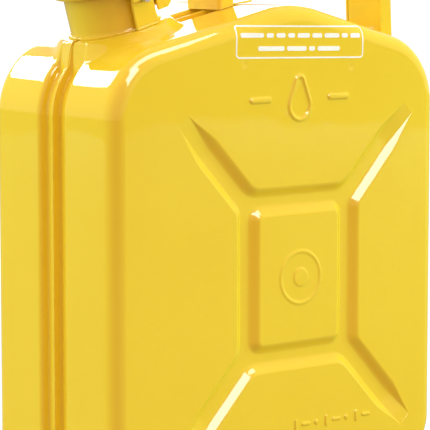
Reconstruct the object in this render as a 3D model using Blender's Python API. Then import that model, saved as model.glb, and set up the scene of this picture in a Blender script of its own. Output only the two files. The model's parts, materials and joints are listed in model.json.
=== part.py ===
"""A small pressed-steel jerry can: two drawn half shells joined at a recessed seam, a leaning
filler neck with a lever-locked hinged lid, and one hoop handle across the gabled top.

X runs along the can from the spout end to the rear end, Y is its thickness and Z is up.
Sizes are in millimetres and are turned into metres when a mesh is made."""

import math

import bmesh
import bpy
from mathutils import Matrix, Vector
from mathutils.geometry import delaunay_2d_cdt

MM = 0.001

# Driving dimensions of the body, mm
BODY_LENGTH = 235.0
BODY_DEPTH = 110.0
SHEET = 1.0                 # wall of the two half shells
MATING_GAP = 0.15           # from the middle plane to each half's mating face
CENTRE_SHIFT = -1.31        # puts the whole can's box, lever and handle included, about x = 0
SHOULDER_HEIGHT = 240.0     # where the end walls and the top slopes would meet
RIDGE_HEIGHT = 269.0        # where the two top slopes would meet
RIDGE_X = 12.0
BOTTOM_RADIUS = 26.0
SHOULDER_RADIUS = 40.0
RIDGE_RADIUS = 70.0
FACE_RADIUS = 9.0           # rounding between a large face and the walls

# The seam: a valley around the can's middle with the two flanges standing in it
VALLEY_HALF_WIDTH = 12.5
VALLEY_DEPTH = 5.0
FLANGE_INSET = 0.4          # flange edge below the wall's surface

# The pressed X pattern on each large face
PATTERN_X = 12.0
PATTERN_Z = 116.0
PRESS_DEPTH = 4.0
WALL_RUN = 4.0              # width of the 45 degree wall of a pressing
PANEL_HALF = (33.2, 40.3)   # middle panel at the bottom of the recess
RING_HALF = (40.4, 46.8)    # outer edge of the recess around the middle panel
SIDE_BEND_Z = 40.0
TRAPEZOID_BEND_X = 34.5
ARM_SLOPE = math.radians(46.5)
ARM_END_X = 79.0
ARM_RAMP = 25.0             # length over which an arm of the recess runs out

# The filler neck, in its own frame: u toward the ridge, v along Y, w out along the neck
NECK_FOOT = (-74.3, 255.8)
NECK_LEAN = math.radians(15.7)
NECK_RADIUS = 24.0
NECK_WALL = 1.3
NECK_HEIGHT = 27.0
BOSS_RADIUS = 28.5
BOSS_RUN = 8.5
HOLE_RADIUS = 21.0
FIT_GAP = 0.3

# The closure, in the neck's frame
LIP_RADIUS = 26.0
LID_RADIUS = 29.0
LID_WALL = 1.5
LID_SKIRT_END = 22.5
LID_UNDERSIDE = 31.1
LID_TOP = 33.5
RIVET_RADIUS = 2.0
HINGE = (37.0, 27.0)        # u, w of the hinge pin
HINGE_PIN_RADIUS = 2.0
BARREL_RADIUS = 4.2
BARREL_HALF = 15.0
EAR_INNER = 16.0
EAR_SHEET = 1.6
LEVER_PIVOT = (3.0, 26.5)
PIVOT_RADIUS = 2.4
ARM_INNER = 30.4
ARM_SHEET = 1.6
CATCH = (2.0, 16.5)
CATCH_RADIUS = 2.6
CATCH_PLATE = (26.4, 28.0)  # distances from the neck's axis of the catch bracket's faces
LOCK_HOLE = (-12.0, 30.5)
LOCK_PIN_RADIUS = 1.3
LOCK_EYE_V = -39.5          # the locking pin is stored drawn back, clear of the lid's lug
LOCK_TIP_V = -30.8
LOCK_RING_RADIUS = 4.5
LOCK_RING_WIRE = 0.8

# The handle
HANDLE_WIDTH = 30.0
HANDLE_SHEET = 1.5
HANDLE_FLANGE = 9.0
HANDLE_TOP = 312.0
HANDLE_FRONT_X = -12.0
HANDLE_REAR_X = 117.8
HANDLE_BULGE_X = 120.4
HANDLE_CLEARANCE = 0.4
GRIP_LOW_FRONT = 262.0       # where the closing strip under the grip stops on the front leg
GRIP_LOW_REAR = 226.0

YELLOW = (0.86, 0.62, 0.03, 1.0)
RUBBER = (0.02, 0.02, 0.02, 1.0)
ZINC = (0.62, 0.62, 0.60, 1.0)


def clear_scene():
    for obj in list(bpy.data.objects):
        bpy.data.objects.remove(obj, do_unlink=True)


def material(name, colour, roughness, metallic):
    mat = bpy.data.materials.new(name)
    mat.use_nodes = True
    shader = mat.node_tree.nodes["Principled BSDF"]
    shader.inputs["Base Color"].default_value = colour
    shader.inputs["Roughness"].default_value = roughness
    shader.inputs["Metallic"].default_value = metallic
    mat.diffuse_color = colour
    return mat


def add_object(name, mesh, mat, smooth_angle=40.0):
    mesh.materials.append(mat)
    mesh.shade_smooth()
    mesh.set_sharp_from_angle(angle=math.radians(smooth_angle))
    obj = bpy.data.objects.new(name, mesh)
    bpy.context.collection.objects.link(obj)
    return obj


def to_metres(vertices):
    return [((x + CENTRE_SHIFT) * MM, y * MM, z * MM) for x, y, z in vertices]


def mesh_from(name, vertices, faces):
    """A mesh in metres from points in millimetres, with its faces turned outward."""
    mesh = bpy.data.meshes.new(name)
    mesh.from_pydata(to_metres(vertices), [], faces)
    bm = bmesh.new()
    bm.from_mesh(mesh)
    bmesh.ops.remove_doubles(bm, verts=bm.verts, dist=0.02 * MM)
    bmesh.ops.recalc_face_normals(bm, faces=bm.faces)
    bm.to_mesh(mesh)
    bm.free()
    return mesh


def make_cutter(name, mesh):
    obj = bpy.data.objects.new(name, mesh)
    bpy.context.collection.objects.link(obj)
    obj.hide_render = True
    obj.display_type = "WIRE"
    return obj


def boolean(obj, cutter, operation="DIFFERENCE"):
    mod = obj.modifiers.new(operation.title() + "_" + cutter.name, "BOOLEAN")
    mod.operation = operation
    mod.object = cutter
    mod.solver = "EXACT"
    return mod


def smoothstep(a, b, x):
    t = min(1.0, max(0.0, (x - a) / (b - a)))
    return t * t * (3.0 - 2.0 * t)


# ---- The outline of the body and its half shells ----

def rounded_polygon(corners, spacing):
    """Points and outward normals around a closed convex outline, anticlockwise.

    corners: (x, z, radius, arc segments); spacing: the largest gap on a straight run,
    one for each side, starting at the corner of the same place in the list."""
    count = len(corners)
    arcs = []
    for i, (x, z, radius, segments) in enumerate(corners):
        here = Vector((x, z))
        before = (Vector(corners[i - 1][:2]) - here).normalized()
        after = (Vector(corners[(i + 1) % count][:2]) - here).normalized()
        half = before.angle(after) / 2.0
        centre = here + (before + after).normalized() * (radius / math.sin(half))
        start = here + before * (radius / math.tan(half)) - centre
        turn = math.pi - 2.0 * half
        base = math.atan2(start.y, start.x)
        arc = []
        for k in range(segments + 1):
            angle = base + turn * k / segments
            normal = Vector((math.cos(angle), math.sin(angle)))
            arc.append((centre + normal * radius, normal))
        arcs.append(arc)
    points = []
    for i, arc in enumerate(arcs):
        points.extend(arc)
        start, normal = arc[-1]
        end = arcs[(i + 1) % count][0][0]
        steps = max(1, math.ceil((end - start).length / spacing[i]))
        for k in range(1, steps):
            points.append((start.lerp(end, k / steps), normal))
    return points


def body_outline():
    half = BODY_LENGTH / 2.0
    corners = [
        (-half, 0.0, BOTTOM_RADIUS, 5),
        (half, 0.0, BOTTOM_RADIUS, 5),
        (half, SHOULDER_HEIGHT, SHOULDER_RADIUS, 6),
        (RIDGE_X, RIDGE_HEIGHT, RIDGE_RADIUS, 3),
        (-half, SHOULDER_HEIGHT, SHOULDER_RADIUS, 6),
    ]
    return rounded_polygon(corners, (70.0, 80.0, 45.0, 7.0, 80.0))


def neck_to_body(u, v, w):
    """A point of the neck's frame in the body's frame, mm."""
    c = math.cos(NECK_LEAN)
    s = math.sin(NECK_LEAN)
    return (NECK_FOOT[0] + u * c - w * s, v, NECK_FOOT[1] + u * s + w * c)


def body_to_neck(x, y, z):
    c = math.cos(NECK_LEAN)
    s = math.sin(NECK_LEAN)
    dx = x - NECK_FOOT[0]
    dz = z - NECK_FOOT[1]
    return (dx * c + dz * s, y, -dx * s + dz * c)


def drawn_boss(x, y, z, on_top):
    """Moves a point of the body's skin up onto the round boss that the neck stands on."""
    if not on_top:
        return (x, y, z)
    u, v, w = body_to_neck(x, y, z)
    reach = math.hypot(u, v)
    share = 1.0 - smoothstep(BOSS_RADIUS, BOSS_RADIUS + BOSS_RUN, reach)
    return neck_to_body(u, v, w * (1.0 - share))


SHELL_PROFILE = (
    # inset from the outline, distance from the middle plane, mm
    [(FACE_RADIUS * (1.0 - math.cos(a)), BODY_DEPTH / 2.0 - FACE_RADIUS * (1.0 - math.sin(a)))
     for a in (math.radians(d) for d in (90.0, 67.5, 45.0, 22.5, 0.0))]
    + [(0.0, 38.0), (0.0, 33.0), (0.0, 28.0), (0.0, 21.0)]
    + [(0.0, VALLEY_HALF_WIDTH + 1.2), (1.0, VALLEY_HALF_WIDTH - 0.8)]
    + [(VALLEY_DEPTH - 0.6, 8.2), (VALLEY_DEPTH, 7.0)]
    + [(VALLEY_DEPTH, MATING_GAP + SHEET), (FLANGE_INSET, MATING_GAP + SHEET)]
)


def recess_edge():
    """The edge of the X-shaped recess at its bottom, as (x, z, depth share), anticlockwise."""
    along = Vector((math.cos(ARM_SLOPE), math.sin(ARM_SLOPE)))
    side_bend = Vector((RING_HALF[0], SIDE_BEND_Z))
    top_bend = Vector((TRAPEZOID_BEND_X, RING_HALF[1]))
    top_end = top_bend + along * ((ARM_END_X - top_bend.x) / along.x)
    side_end = side_bend + along * ((top_end - side_bend).dot(along))
    runs = []
    for bend, end in ((side_bend, side_end), (top_bend, top_end)):
        ramp = end - along * ARM_RAMP
        runs.append((bend, ramp, end))
    (side, side_ramp, side_tip), (top, top_ramp, top_tip) = runs
    least = 0.04
    quarter = [
        (side - Vector((0.0, 4.0)), 1.0), (side + along * 4.0, 1.0),
        (side_ramp, 1.0), (side_tip, least),
        (top_tip, least), (top_ramp, 1.0),
        (top + along * 5.0, 1.0), (top - Vector((5.0, 0.0)), 1.0),
    ]
    points = []
    for sx, sz, flip in ((1, 1, False), (-1, 1, True), (-1, -1, False), (1, -1, True)):
        part = [(p.x * sx, p.y * sz, share) for p, share in quarter]
        points.extend(reversed(part) if flip else part)
    return points


def panel_edge():
    """The edge of the middle panel at the bottom of the recess, anticlockwise."""
    radius = 7.0
    points = []
    for sx, sz, start in ((1, -1, -90.0), (1, 1, 0.0), (-1, 1, 90.0), (-1, -1, 180.0)):
        for k in range(4):
            angle = math.radians(start + 30.0 * k)
            points.append((sx * (PANEL_HALF[0] - radius) + radius * math.cos(angle),
                           sz * (PANEL_HALF[1] - radius) + radius * math.sin(angle), 1.0))
    return points


def offset_loop(points, distance):
    """Moves a closed loop sideways, outward for a positive distance, by share of depth."""
    moved = []
    for i, (x, z, share) in enumerate(points):
        here = Vector((x, z))
        before = (here - Vector(points[i - 1][:2])).normalized()
        after = (Vector(points[(i + 1) % len(points)][:2]) - here).normalized()
        normal = Vector((before.y + after.y, -before.x - after.x)).normalized()
        stretch = 1.0 / max(0.5, normal.dot(Vector((after.y, -after.x))))
        shift = normal * (distance * share * stretch)
        moved.append((x + shift.x, z + shift.y, share))
    return moved


SLIVER = 0.02               # mm2: triangles along a straight rim thinner than this are dropped


def face_plan(rim):
    """The large face: its triangles in the XZ plane and each point's depth below the face."""
    recess = recess_edge()
    panel = panel_edge()
    loops = [
        ([(x, z, 0.0) for x, z in rim], 0.0),
        (offset_loop(recess, WALL_RUN), 0.0),
        (recess, PRESS_DEPTH),
        (panel, PRESS_DEPTH),
        (offset_loop(panel, -WALL_RUN), 0.0),
    ]
    flat, depths, edges = [], [], []
    for number, (loop, depth) in enumerate(loops):
        first = len(flat)
        for k, (x, z, share) in enumerate(loop):
            shift_x, shift_z = (PATTERN_X, PATTERN_Z) if number else (0.0, 0.0)
            flat.append(Vector((x + shift_x, z + shift_z)))
            depths.append(depth * share)
            edges.append((first + k, first + (k + 1) % len(loop)))
    verts, _, faces, origin, _, _ = delaunay_2d_cdt(flat, edges, [], 0, 1e-5)
    levels = [depths[source[0]] for source in origin]
    solid_faces = []
    for a, b, c in faces:
        area = abs((verts[b] - verts[a]).cross(verts[c] - verts[a])) / 2.0
        if area > SLIVER:
            solid_faces.append([a, b, c])
    return [(v.x, v.y) for v in verts], levels, solid_faces


def shell_skin(side):
    """The outside of one half shell; side is -1 for the near half and 1 for the far half."""
    outline = body_outline()
    top = SHOULDER_HEIGHT - SHOULDER_RADIUS
    vertices, faces = [], []
    for inset, out in SHELL_PROFILE:
        for point, normal in outline:
            x, z = point - normal * inset
            share = 0.0
            if z > top:
                u, v, _ = body_to_neck(x, out, z)
                share = 1.0 - smoothstep(BOSS_RADIUS, BOSS_RADIUS + BOSS_RUN, math.hypot(u, v))
            level = out
            if (inset, out) == SHELL_PROFILE[-1]:
                level = out + (MATING_GAP + 0.05 - out) * share
            x, y, z = drawn_boss(x, level, z, z > top)
            vertices.append((x, y * side, z))
    count = len(outline)
    for row in range(len(SHELL_PROFILE) - 1):
        for k in range(count):
            following = (k + 1) % count
            faces.append((row * count + k, row * count + following,
                          (row + 1) * count + following, (row + 1) * count + k))
    rim = [tuple(point - normal * FACE_RADIUS) for point, normal in outline]
    plan, levels, triangles = face_plan(rim)
    first = len(vertices)
    vertices.extend((x, side * (BODY_DEPTH / 2.0 - level), z)
                    for (x, z), level in zip(plan, levels))
    faces.extend([first + i for i in tri] for tri in triangles)
    return vertices, faces


def half_shell(name, side, mat, hole):
    """A half shell as a closed sheet: its outside, the same surface moved in, and the rim."""
    vertices, faces = shell_skin(side)
    mesh = bpy.data.meshes.new(name)
    mesh.from_pydata(to_metres(vertices), [], faces)
    bm = bmesh.new()
    bm.from_mesh(mesh)
    bmesh.ops.remove_doubles(bm, verts=bm.verts, dist=0.02 * MM)
    bmesh.ops.recalc_face_normals(bm, faces=bm.faces)
    middle = max(bm.faces, key=lambda f: f.calc_area())
    if middle.normal.y * side < 0.0:
        bmesh.ops.reverse_faces(bm, faces=bm.faces)
    bm.normal_update()
    outside = list(bm.verts)
    rim = [(e.verts[0], e.verts[1]) for e in bm.edges if e.is_boundary]
    inside = {}
    for vert in outside:
        co = vert.co - vert.normal * (SHEET * MM * min(1.6, vert.calc_shell_factor()))
        if co.y * side < MATING_GAP * MM:
            co.y = MATING_GAP * MM * side
        inside[vert] = co
    inside = {vert: bm.verts.new(co) for vert, co in inside.items()}
    for face in list(bm.faces):
        bm.faces.new([inside[v] for v in reversed(face.verts)])
    for a, b in rim:
        bm.faces.new((a, b, inside[b], inside[a]))
    bmesh.ops.recalc_face_normals(bm, faces=bm.faces)
    bm.to_mesh(mesh)
    bm.free()
    obj = add_object(name, mesh, mat)
    boolean(obj, hole)
    return obj


# ---- Shared solids ----

def turned(name, profile, segments, axis_point=(0.0, 0.0), along="w", closed=True):
    """A solid of revolution in the neck's frame. profile: (radius, height) around a loop."""
    vertices, faces = [], []
    count = len(profile)
    for k in range(segments):
        angle = 2.0 * math.pi * k / segments
        for radius, height in profile:
            a = radius * math.cos(angle)
            b = radius * math.sin(angle)
            if along == "w":
                local = (axis_point[0] + a, b, axis_point[1] + height)
            else:
                local = (axis_point[0] + a, height, axis_point[1] + b)
            vertices.append(neck_to_body(*local))
    for k in range(segments):
        following = (k + 1) % segments
        for i in range(count if closed else count - 1):
            j = (i + 1) % count
            faces.append((k * count + i, following * count + i,
                          following * count + j, k * count + j))
    return mesh_from(name, vertices, faces)


def shaft(name, point, v_from, v_to, radius, segments=20, head=None):
    """A round bar along Y in the neck's frame, with optional wider heads (radius, thickness)."""
    profile = [(0.0001, v_from), (radius, v_from), (radius, v_to), (0.0001, v_to)]
    if head:
        wide, thick = head
        profile = [(0.0001, v_from - thick), (wide * 0.75, v_from - thick),
                   (wide, v_from - thick * 0.5), (wide, v_from), (radius, v_from),
                   (radius, v_to), (wide, v_to), (wide, v_to + thick * 0.5),
                   (wide * 0.75, v_to + thick), (0.0001, v_to + thick)]
    mesh = turned(name, profile, segments, point, along="v", closed=False)
    bm = bmesh.new()
    bm.from_mesh(mesh)
    bmesh.ops.remove_doubles(bm, verts=bm.verts, dist=0.002 * MM)
    bmesh.ops.holes_fill(bm, edges=[e for e in bm.edges if e.is_boundary], sides=0)
    bmesh.ops.recalc_face_normals(bm, faces=bm.faces)
    bm.to_mesh(mesh)
    bm.free()
    return mesh


def plate(name, outline, v_from, v_to):
    """A flat plate in the neck's frame from its (u, w) outline."""
    count = len(outline)
    vertices = [neck_to_body(u, v_from, w) for u, w in outline]
    vertices += [neck_to_body(u, v_to, w) for u, w in outline]
    faces = [list(range(count)), list(range(count, 2 * count))]
    for i in range(count):
        j = (i + 1) % count
        faces.append((i, j, count + j, count + i))
    return mesh_from(name, vertices, faces)


def fillet(points, segments=4):
    """Rounds the corners of a closed outline. points: (x, y, radius)."""
    result = []
    count = len(points)
    for i, (x, y, radius) in enumerate(points):
        here = Vector((x, y))
        if radius <= 0.0:
            result.append((x, y))
            continue
        before = (Vector(points[i - 1][:2]) - here).normalized()
        after = (Vector(points[(i + 1) % count][:2]) - here).normalized()
        half = before.angle(after) / 2.0
        reach = radius / math.tan(half)
        centre = here + (before + after).normalized() * (radius / math.sin(half))
        start = here + before * reach - centre
        end = here + after * reach - centre
        turn = start.angle_signed(end)
        for k in range(segments + 1):
            angle = -turn * k / segments
            c, s = math.cos(angle), math.sin(angle)
            result.append((centre.x + start.x * c - start.y * s,
                           centre.y + start.x * s + start.y * c))
    return result


def cut_hole(obj, name, point, radius, v_from, v_to):
    mesh = shaft(name, point, v_from, v_to, radius, 20)
    boolean(obj, make_cutter(name, mesh))


def join_solid(obj, name, mesh):
    boolean(obj, make_cutter(name, mesh), "UNION")


def strip_outline(points, thickness, segments=4):
    """The closed outline of a bent strip along a centre line of (x, y, bend radius)."""
    line = []
    for i, (x, y, radius) in enumerate(points):
        here = Vector((x, y))
        if radius <= 0.0:
            line.append(here)
            continue
        before = (Vector(points[i - 1][:2]) - here).normalized()
        after = (Vector(points[i + 1][:2]) - here).normalized()
        half = before.angle(after) / 2.0
        centre = here + (before + after).normalized() * (radius / math.sin(half))
        start = here + before * (radius / math.tan(half)) - centre
        end = here + after * (radius / math.tan(half)) - centre
        turn = -start.angle_signed(end)
        for k in range(segments + 1):
            c, s = math.cos(turn * k / segments), math.sin(turn * k / segments)
            line.append(centre + Vector((start.x * c - start.y * s, start.x * s + start.y * c)))
    left, right = [], []
    for i, here in enumerate(line):
        tangent = (line[min(i + 1, len(line) - 1)] - line[max(i - 1, 0)]).normalized()
        normal = Vector((-tangent.y, tangent.x)) * (thickness / 2.0)
        left.append(tuple(here + normal))
        right.append(tuple(here - normal))
    return left + right[::-1], line


def prism(name, outline, y_from, y_to):
    """A solid between two planes of constant Y from its (x, z) outline in the body's frame."""
    count = len(outline)
    vertices = [(x, y_from, z) for x, z in outline] + [(x, y_to, z) for x, z in outline]
    faces = [list(range(count)), list(range(count, 2 * count))]
    for i in range(count):
        j = (i + 1) % count
        faces.append((i, j, count + j, count + i))
    return mesh_from(name, vertices, faces)


def pipe(name, path, outer, inner, segments=14):
    """An open tube along a path in the body's XZ plane."""
    vertices, faces = [], []
    for i, here in enumerate(path):
        tangent = (path[min(i + 1, len(path) - 1)] - path[max(i - 1, 0)]).normalized()
        normal = Vector((-tangent.y, tangent.x))
        for radius in (outer, inner):
            for k in range(segments):
                angle = 2.0 * math.pi * k / segments
                side = here + normal * (radius * math.cos(angle))
                vertices.append((side.x, radius * math.sin(angle), side.y))
    ring = 2 * segments
    last = (len(path) - 1) * ring
    for k in range(segments):
        j = (k + 1) % segments
        for i in range(len(path) - 1):
            a, b = i * ring, (i + 1) * ring
            faces.append((a + k, a + j, b + j, b + k))
            faces.append((a + segments + k, b + segments + k, b + segments + j, a + segments + j))
        faces.append((k, segments + k, segments + j, j))
        faces.append((last + k, last + j, last + segments + j, last + segments + k))
    return mesh_from(name, vertices, faces)


# ---- The pieces ----

def make_neck(yellow):
    profile = [(NECK_RADIUS - NECK_WALL, 0.35), (NECK_RADIUS + 1.3, 0.35),
               (NECK_RADIUS + 0.4, 1.5), (NECK_RADIUS, 3.0),
               (NECK_RADIUS, NECK_HEIGHT - 3.6), (LIP_RADIUS - 0.5, NECK_HEIGHT - 2.6),
               (LIP_RADIUS, NECK_HEIGHT - 1.5), (LIP_RADIUS - 0.5, NECK_HEIGHT - 0.4),
               (LIP_RADIUS - 1.6, NECK_HEIGHT), (NECK_RADIUS - NECK_WALL, NECK_HEIGHT)]
    add_object("filler_neck", turned("filler_neck", profile, 40), yellow)


def make_breather(zinc):
    bend_u = 15.5
    start = neck_to_body(bend_u, 0.0, 22.0)
    bend = neck_to_body(bend_u, 0.0, -16.0)
    end = (bend[0] + 46.0, bend[2] + 7.5)
    _, line = strip_outline([(start[0], start[2], 0.0), (bend[0], bend[2], 12.0),
                             (end[0], end[1], 0.0)], 1.0, 6)
    add_object("breather_tube", pipe("breather_tube", line, 3.2, 2.3), zinc)


def make_catches(yellow, zinc):
    inner, outer = CATCH_PLATE
    outline = fillet([(-5.5, 0.6, 0.0), (9.0, 0.6, 0.0), (9.0, 20.0, 3.0), (-5.5, 20.0, 5.0)])
    for label, side in (("near", -1), ("far", 1)):
        faces = sorted((side * inner, side * outer))
        name = "catch_bracket_" + label
        bracket = add_object(name, plate(name, outline, *faces), yellow)
        cut_hole(bracket, "catch_hole_" + label, CATCH, CATCH_RADIUS + FIT_GAP,
                 faces[0] - 1.0, faces[1] + 1.0)
        name = "catch_pin_" + label
        ends = sorted((side * (NECK_RADIUS + 0.4), side * (ARM_INNER + ARM_SHEET + 0.8)))
        add_object(name, shaft(name, CATCH, ends[0], ends[1], CATCH_RADIUS), zinc)


def make_hinge(yellow, zinc):
    ear = fillet([(18.8, 4.0, 0.0), (26.0, 4.0, 3.0), (43.0, 22.0, 4.0), (43.0, 33.0, 5.0),
                  (31.0, 33.0, 5.0), (27.0, 20.8, 2.0), (18.8, 20.8, 0.0)])
    outer = EAR_INNER + EAR_SHEET
    bracket = add_object("hinge_bracket", plate("hinge_bracket", ear, -outer, -EAR_INNER),
                         yellow)
    join_solid(bracket, "far_ear", plate("far_ear", ear, EAR_INNER, outer))
    bridge = [(24.6, 5.0), (26.2, 5.0), (26.2, 19.0), (24.6, 19.0)]
    join_solid(bracket, "ear_bridge", plate("ear_bridge", bridge, -outer + 0.3, outer - 0.3))
    cut_hole(bracket, "ear_holes", HINGE, HINGE_PIN_RADIUS + FIT_GAP, -30.0, 30.0)
    reach = outer + 0.5
    add_object("hinge_pin", shaft("hinge_pin", HINGE, -reach, reach, HINGE_PIN_RADIUS,
                                  20, (3.4, 1.2)), zinc)


def make_lid(yellow, rubber, zinc):
    hole = RIVET_RADIUS + FIT_GAP
    inner = LID_RADIUS - LID_WALL
    profile = [(hole, LID_UNDERSIDE), (inner, LID_UNDERSIDE), (inner, LID_SKIRT_END),
               (LID_RADIUS, LID_SKIRT_END), (LID_RADIUS, LID_TOP - 2.0),
               (LID_RADIUS - 0.8, LID_TOP - 0.6), (LID_RADIUS - 2.4, LID_TOP),
               (hole, LID_TOP)]
    lid = add_object("lid", turned("lid", profile, 40), yellow)
    tail = [(27.9, 25.4), (35.0, 24.6), (37.0, 23.2), (37.0, 30.8), (34.0, 30.4), (27.9, 29.8)]
    join_solid(lid, "lid_tail", plate("lid_tail", tail, -BARREL_HALF + 0.4, BARREL_HALF - 0.4))
    join_solid(lid, "lid_barrel", shaft("lid_barrel", HINGE, -BARREL_HALF, BARREL_HALF,
                                        BARREL_RADIUS, 24))
    lug = [(-15.6, 26.6), (-8.4, 26.6), (-8.4, 33.2), (-15.6, 33.2)]
    join_solid(lid, "lock_lug", plate("lock_lug", lug, -ARM_INNER + 0.5, -26.5))
    cut_hole(lid, "barrel_bore", HINGE, HINGE_PIN_RADIUS + FIT_GAP, -30.0, 30.0)
    cut_hole(lid, "lock_bore", LOCK_HOLE, LOCK_PIN_RADIUS + FIT_GAP, -31.0, -27.0)

    seal = [(15.0, NECK_HEIGHT + FIT_GAP), (26.6, NECK_HEIGHT + FIT_GAP),
            (26.6, LID_UNDERSIDE - FIT_GAP), (15.0, LID_UNDERSIDE - FIT_GAP)]
    add_object("lid_gasket", turned("lid_gasket", seal, 40), rubber)
    dish = [(hole, 28.6), (12.0, 28.6), (14.2, 26.9), (20.5, 26.9), (20.5, 25.7),
            (13.6, 25.7), (11.4, 27.2), (hole, 27.2)]
    add_object("gasket_retainer", turned("gasket_retainer", dish, 32), zinc)
    rivet = [(0.0001, 25.0), (3.6, 25.2), (4.4, 26.9), (RIVET_RADIUS, 26.9),
             (RIVET_RADIUS, LID_TOP + FIT_GAP), (4.6, LID_TOP + FIT_GAP), (3.8, LID_TOP + 1.6),
             (0.0001, LID_TOP + 2.1)]
    mesh = turned("retainer_rivet", rivet, 20, closed=False)
    add_object("retainer_rivet", close_poles(mesh), zinc)
    for label, side in (("near", -1), ("far", 1)):
        name = "lever_pivot_" + label
        ends = sorted((side * (LID_RADIUS + 0.3), side * (ARM_INNER + ARM_SHEET + 0.4)))
        add_object(name, shaft(name, LEVER_PIVOT, ends[0], ends[1], PIVOT_RADIUS), zinc)


def close_poles(mesh):
    """Closes the two ends of a turned solid whose profile stops just off the axis."""
    bm = bmesh.new()
    bm.from_mesh(mesh)
    bmesh.ops.remove_doubles(bm, verts=bm.verts, dist=0.01 * MM)
    bmesh.ops.holes_fill(bm, edges=[e for e in bm.edges if e.is_boundary], sides=0)
    bmesh.ops.recalc_face_normals(bm, faces=bm.faces)
    bm.to_mesh(mesh)
    bm.free()
    return mesh


def lever_arm_outline():
    """One side arm: the pivot lobe, the claw ahead of the catch pin and the bar to the front."""
    pivot_u, pivot_w = LEVER_PIVOT
    lobe = []
    for k in range(9):
        angle = math.radians(-118.0 + 22.0 * k)
        lobe.append((pivot_u + 6.4 * math.cos(angle), pivot_w + 6.4 * math.sin(angle)))
    front = [(-11.0, 35.6), (-34.0, 35.6), (-36.6, 33.0), (-36.6, 28.6), (-33.0, 27.4),
             (-14.0, 23.5), (-7.6, 20.5), (-7.6, 17.2), (-6.6, 16.2), (-2.2, 16.2),
             (-1.2, 17.2), (-1.8, 19.0)]
    return lobe + front


def make_lever(yellow, zinc):
    outer = ARM_INNER + ARM_SHEET
    outline = lever_arm_outline()
    lever = add_object("closure_lever", plate("closure_lever", outline, -outer, -ARM_INNER),
                       yellow)
    join_solid(lever, "far_arm", plate("far_arm", outline, ARM_INNER, outer))
    strip, _ = strip_outline([(-13.0, 34.8, 0.0), (-35.8, 34.8, 3.0), (-35.8, 29.2, 0.0)], 1.5)
    join_solid(lever, "lever_front", plate("lever_front", strip, -outer + 0.2, outer - 0.2))
    cut_hole(lever, "pivot_holes", LEVER_PIVOT, PIVOT_RADIUS + FIT_GAP, -40.0, 40.0)
    cut_hole(lever, "lock_hole", LOCK_HOLE, LOCK_PIN_RADIUS + FIT_GAP, -40.0, -28.0)

    eye_half = 3.2
    pin = add_object("lock_pin", shaft("lock_pin", LOCK_HOLE, LOCK_EYE_V + 2.2, LOCK_TIP_V,
                                       LOCK_PIN_RADIUS, 16), zinc)
    u, w = LOCK_HOLE
    eye = [(u - 1.1, w - eye_half), (u + 1.1, w - eye_half), (u + 1.1, w + eye_half),
           (u - 1.1, w + eye_half)]
    join_solid(pin, "lock_eye", plate("lock_eye", eye, LOCK_EYE_V - eye_half,
                                      LOCK_EYE_V + eye_half))
    bore = []
    for k in range(16):
        angle = 2.0 * math.pi * k / 16
        bore.append((LOCK_EYE_V + 1.7 * math.cos(angle), w + 1.7 * math.sin(angle)))
    vertices = [neck_to_body(u - 3.0, v, h) for v, h in bore]
    vertices += [neck_to_body(u + 3.0, v, h) for v, h in bore]
    faces = [list(range(16)), list(range(16, 32))]
    faces += [(i, (i + 1) % 16, 16 + (i + 1) % 16, 16 + i) for i in range(16)]
    boolean(pin, make_cutter("eye_bore", mesh_from("eye_bore", vertices, faces)))
    ring = []
    for k in range(10):
        angle = 2.0 * math.pi * k / 10
        ring.append((LOCK_RING_RADIUS + LOCK_RING_WIRE * math.cos(angle),
                     LOCK_EYE_V + LOCK_RING_WIRE * math.sin(angle)))
    hang_u = u - LOCK_RING_RADIUS * math.sin(NECK_LEAN)
    hang_w = w - LOCK_RING_RADIUS * math.cos(NECK_LEAN)
    mesh = turned("lock_ring", ring, 28, (hang_u, hang_w), along="v")
    add_object("lock_ring", mesh, zinc)


def handle_line(segments=5):
    """The middle line of the handle's outer sheet in the XZ plane, from front to rear."""
    points = [(HANDLE_FRONT_X, 235.0, 0.0), (HANDLE_FRONT_X + 1.0, HANDLE_TOP, 20.0),
              (HANDLE_REAR_X - 1.0, HANDLE_TOP, 24.0), (HANDLE_BULGE_X, 236.0, 40.0),
              (BODY_LENGTH / 2.0 + HANDLE_CLEARANCE + HANDLE_SHEET / 2.0, 212.0, 30.0),
              (BODY_LENGTH / 2.0 + HANDLE_CLEARANCE + HANDLE_SHEET / 2.0, 190.0, 0.0)]
    return strip_outline(points, HANDLE_SHEET, segments)[1]


def sweep(name, line, section):
    """Sweeps a closed section of (across Y, inward) points along a line in the XZ plane."""
    vertices, faces = [], []
    count = len(section)
    for i, here in enumerate(line):
        tangent = (line[min(i + 1, len(line) - 1)] - line[max(i - 1, 0)]).normalized()
        inward = Vector((tangent.y, -tangent.x))
        for across, depth in section:
            at = here + inward * depth
            vertices.append((at.x, across, at.y))
    for i in range(len(line) - 1):
        for k in range(count):
            j = (k + 1) % count
            faces.append((i * count + k, i * count + j, (i + 1) * count + j,
                          (i + 1) * count + k))
    faces.append(list(range(count)))
    faces.append(list(range((len(line) - 1) * count, len(line) * count)))
    return mesh_from(name, vertices, faces)


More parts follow.
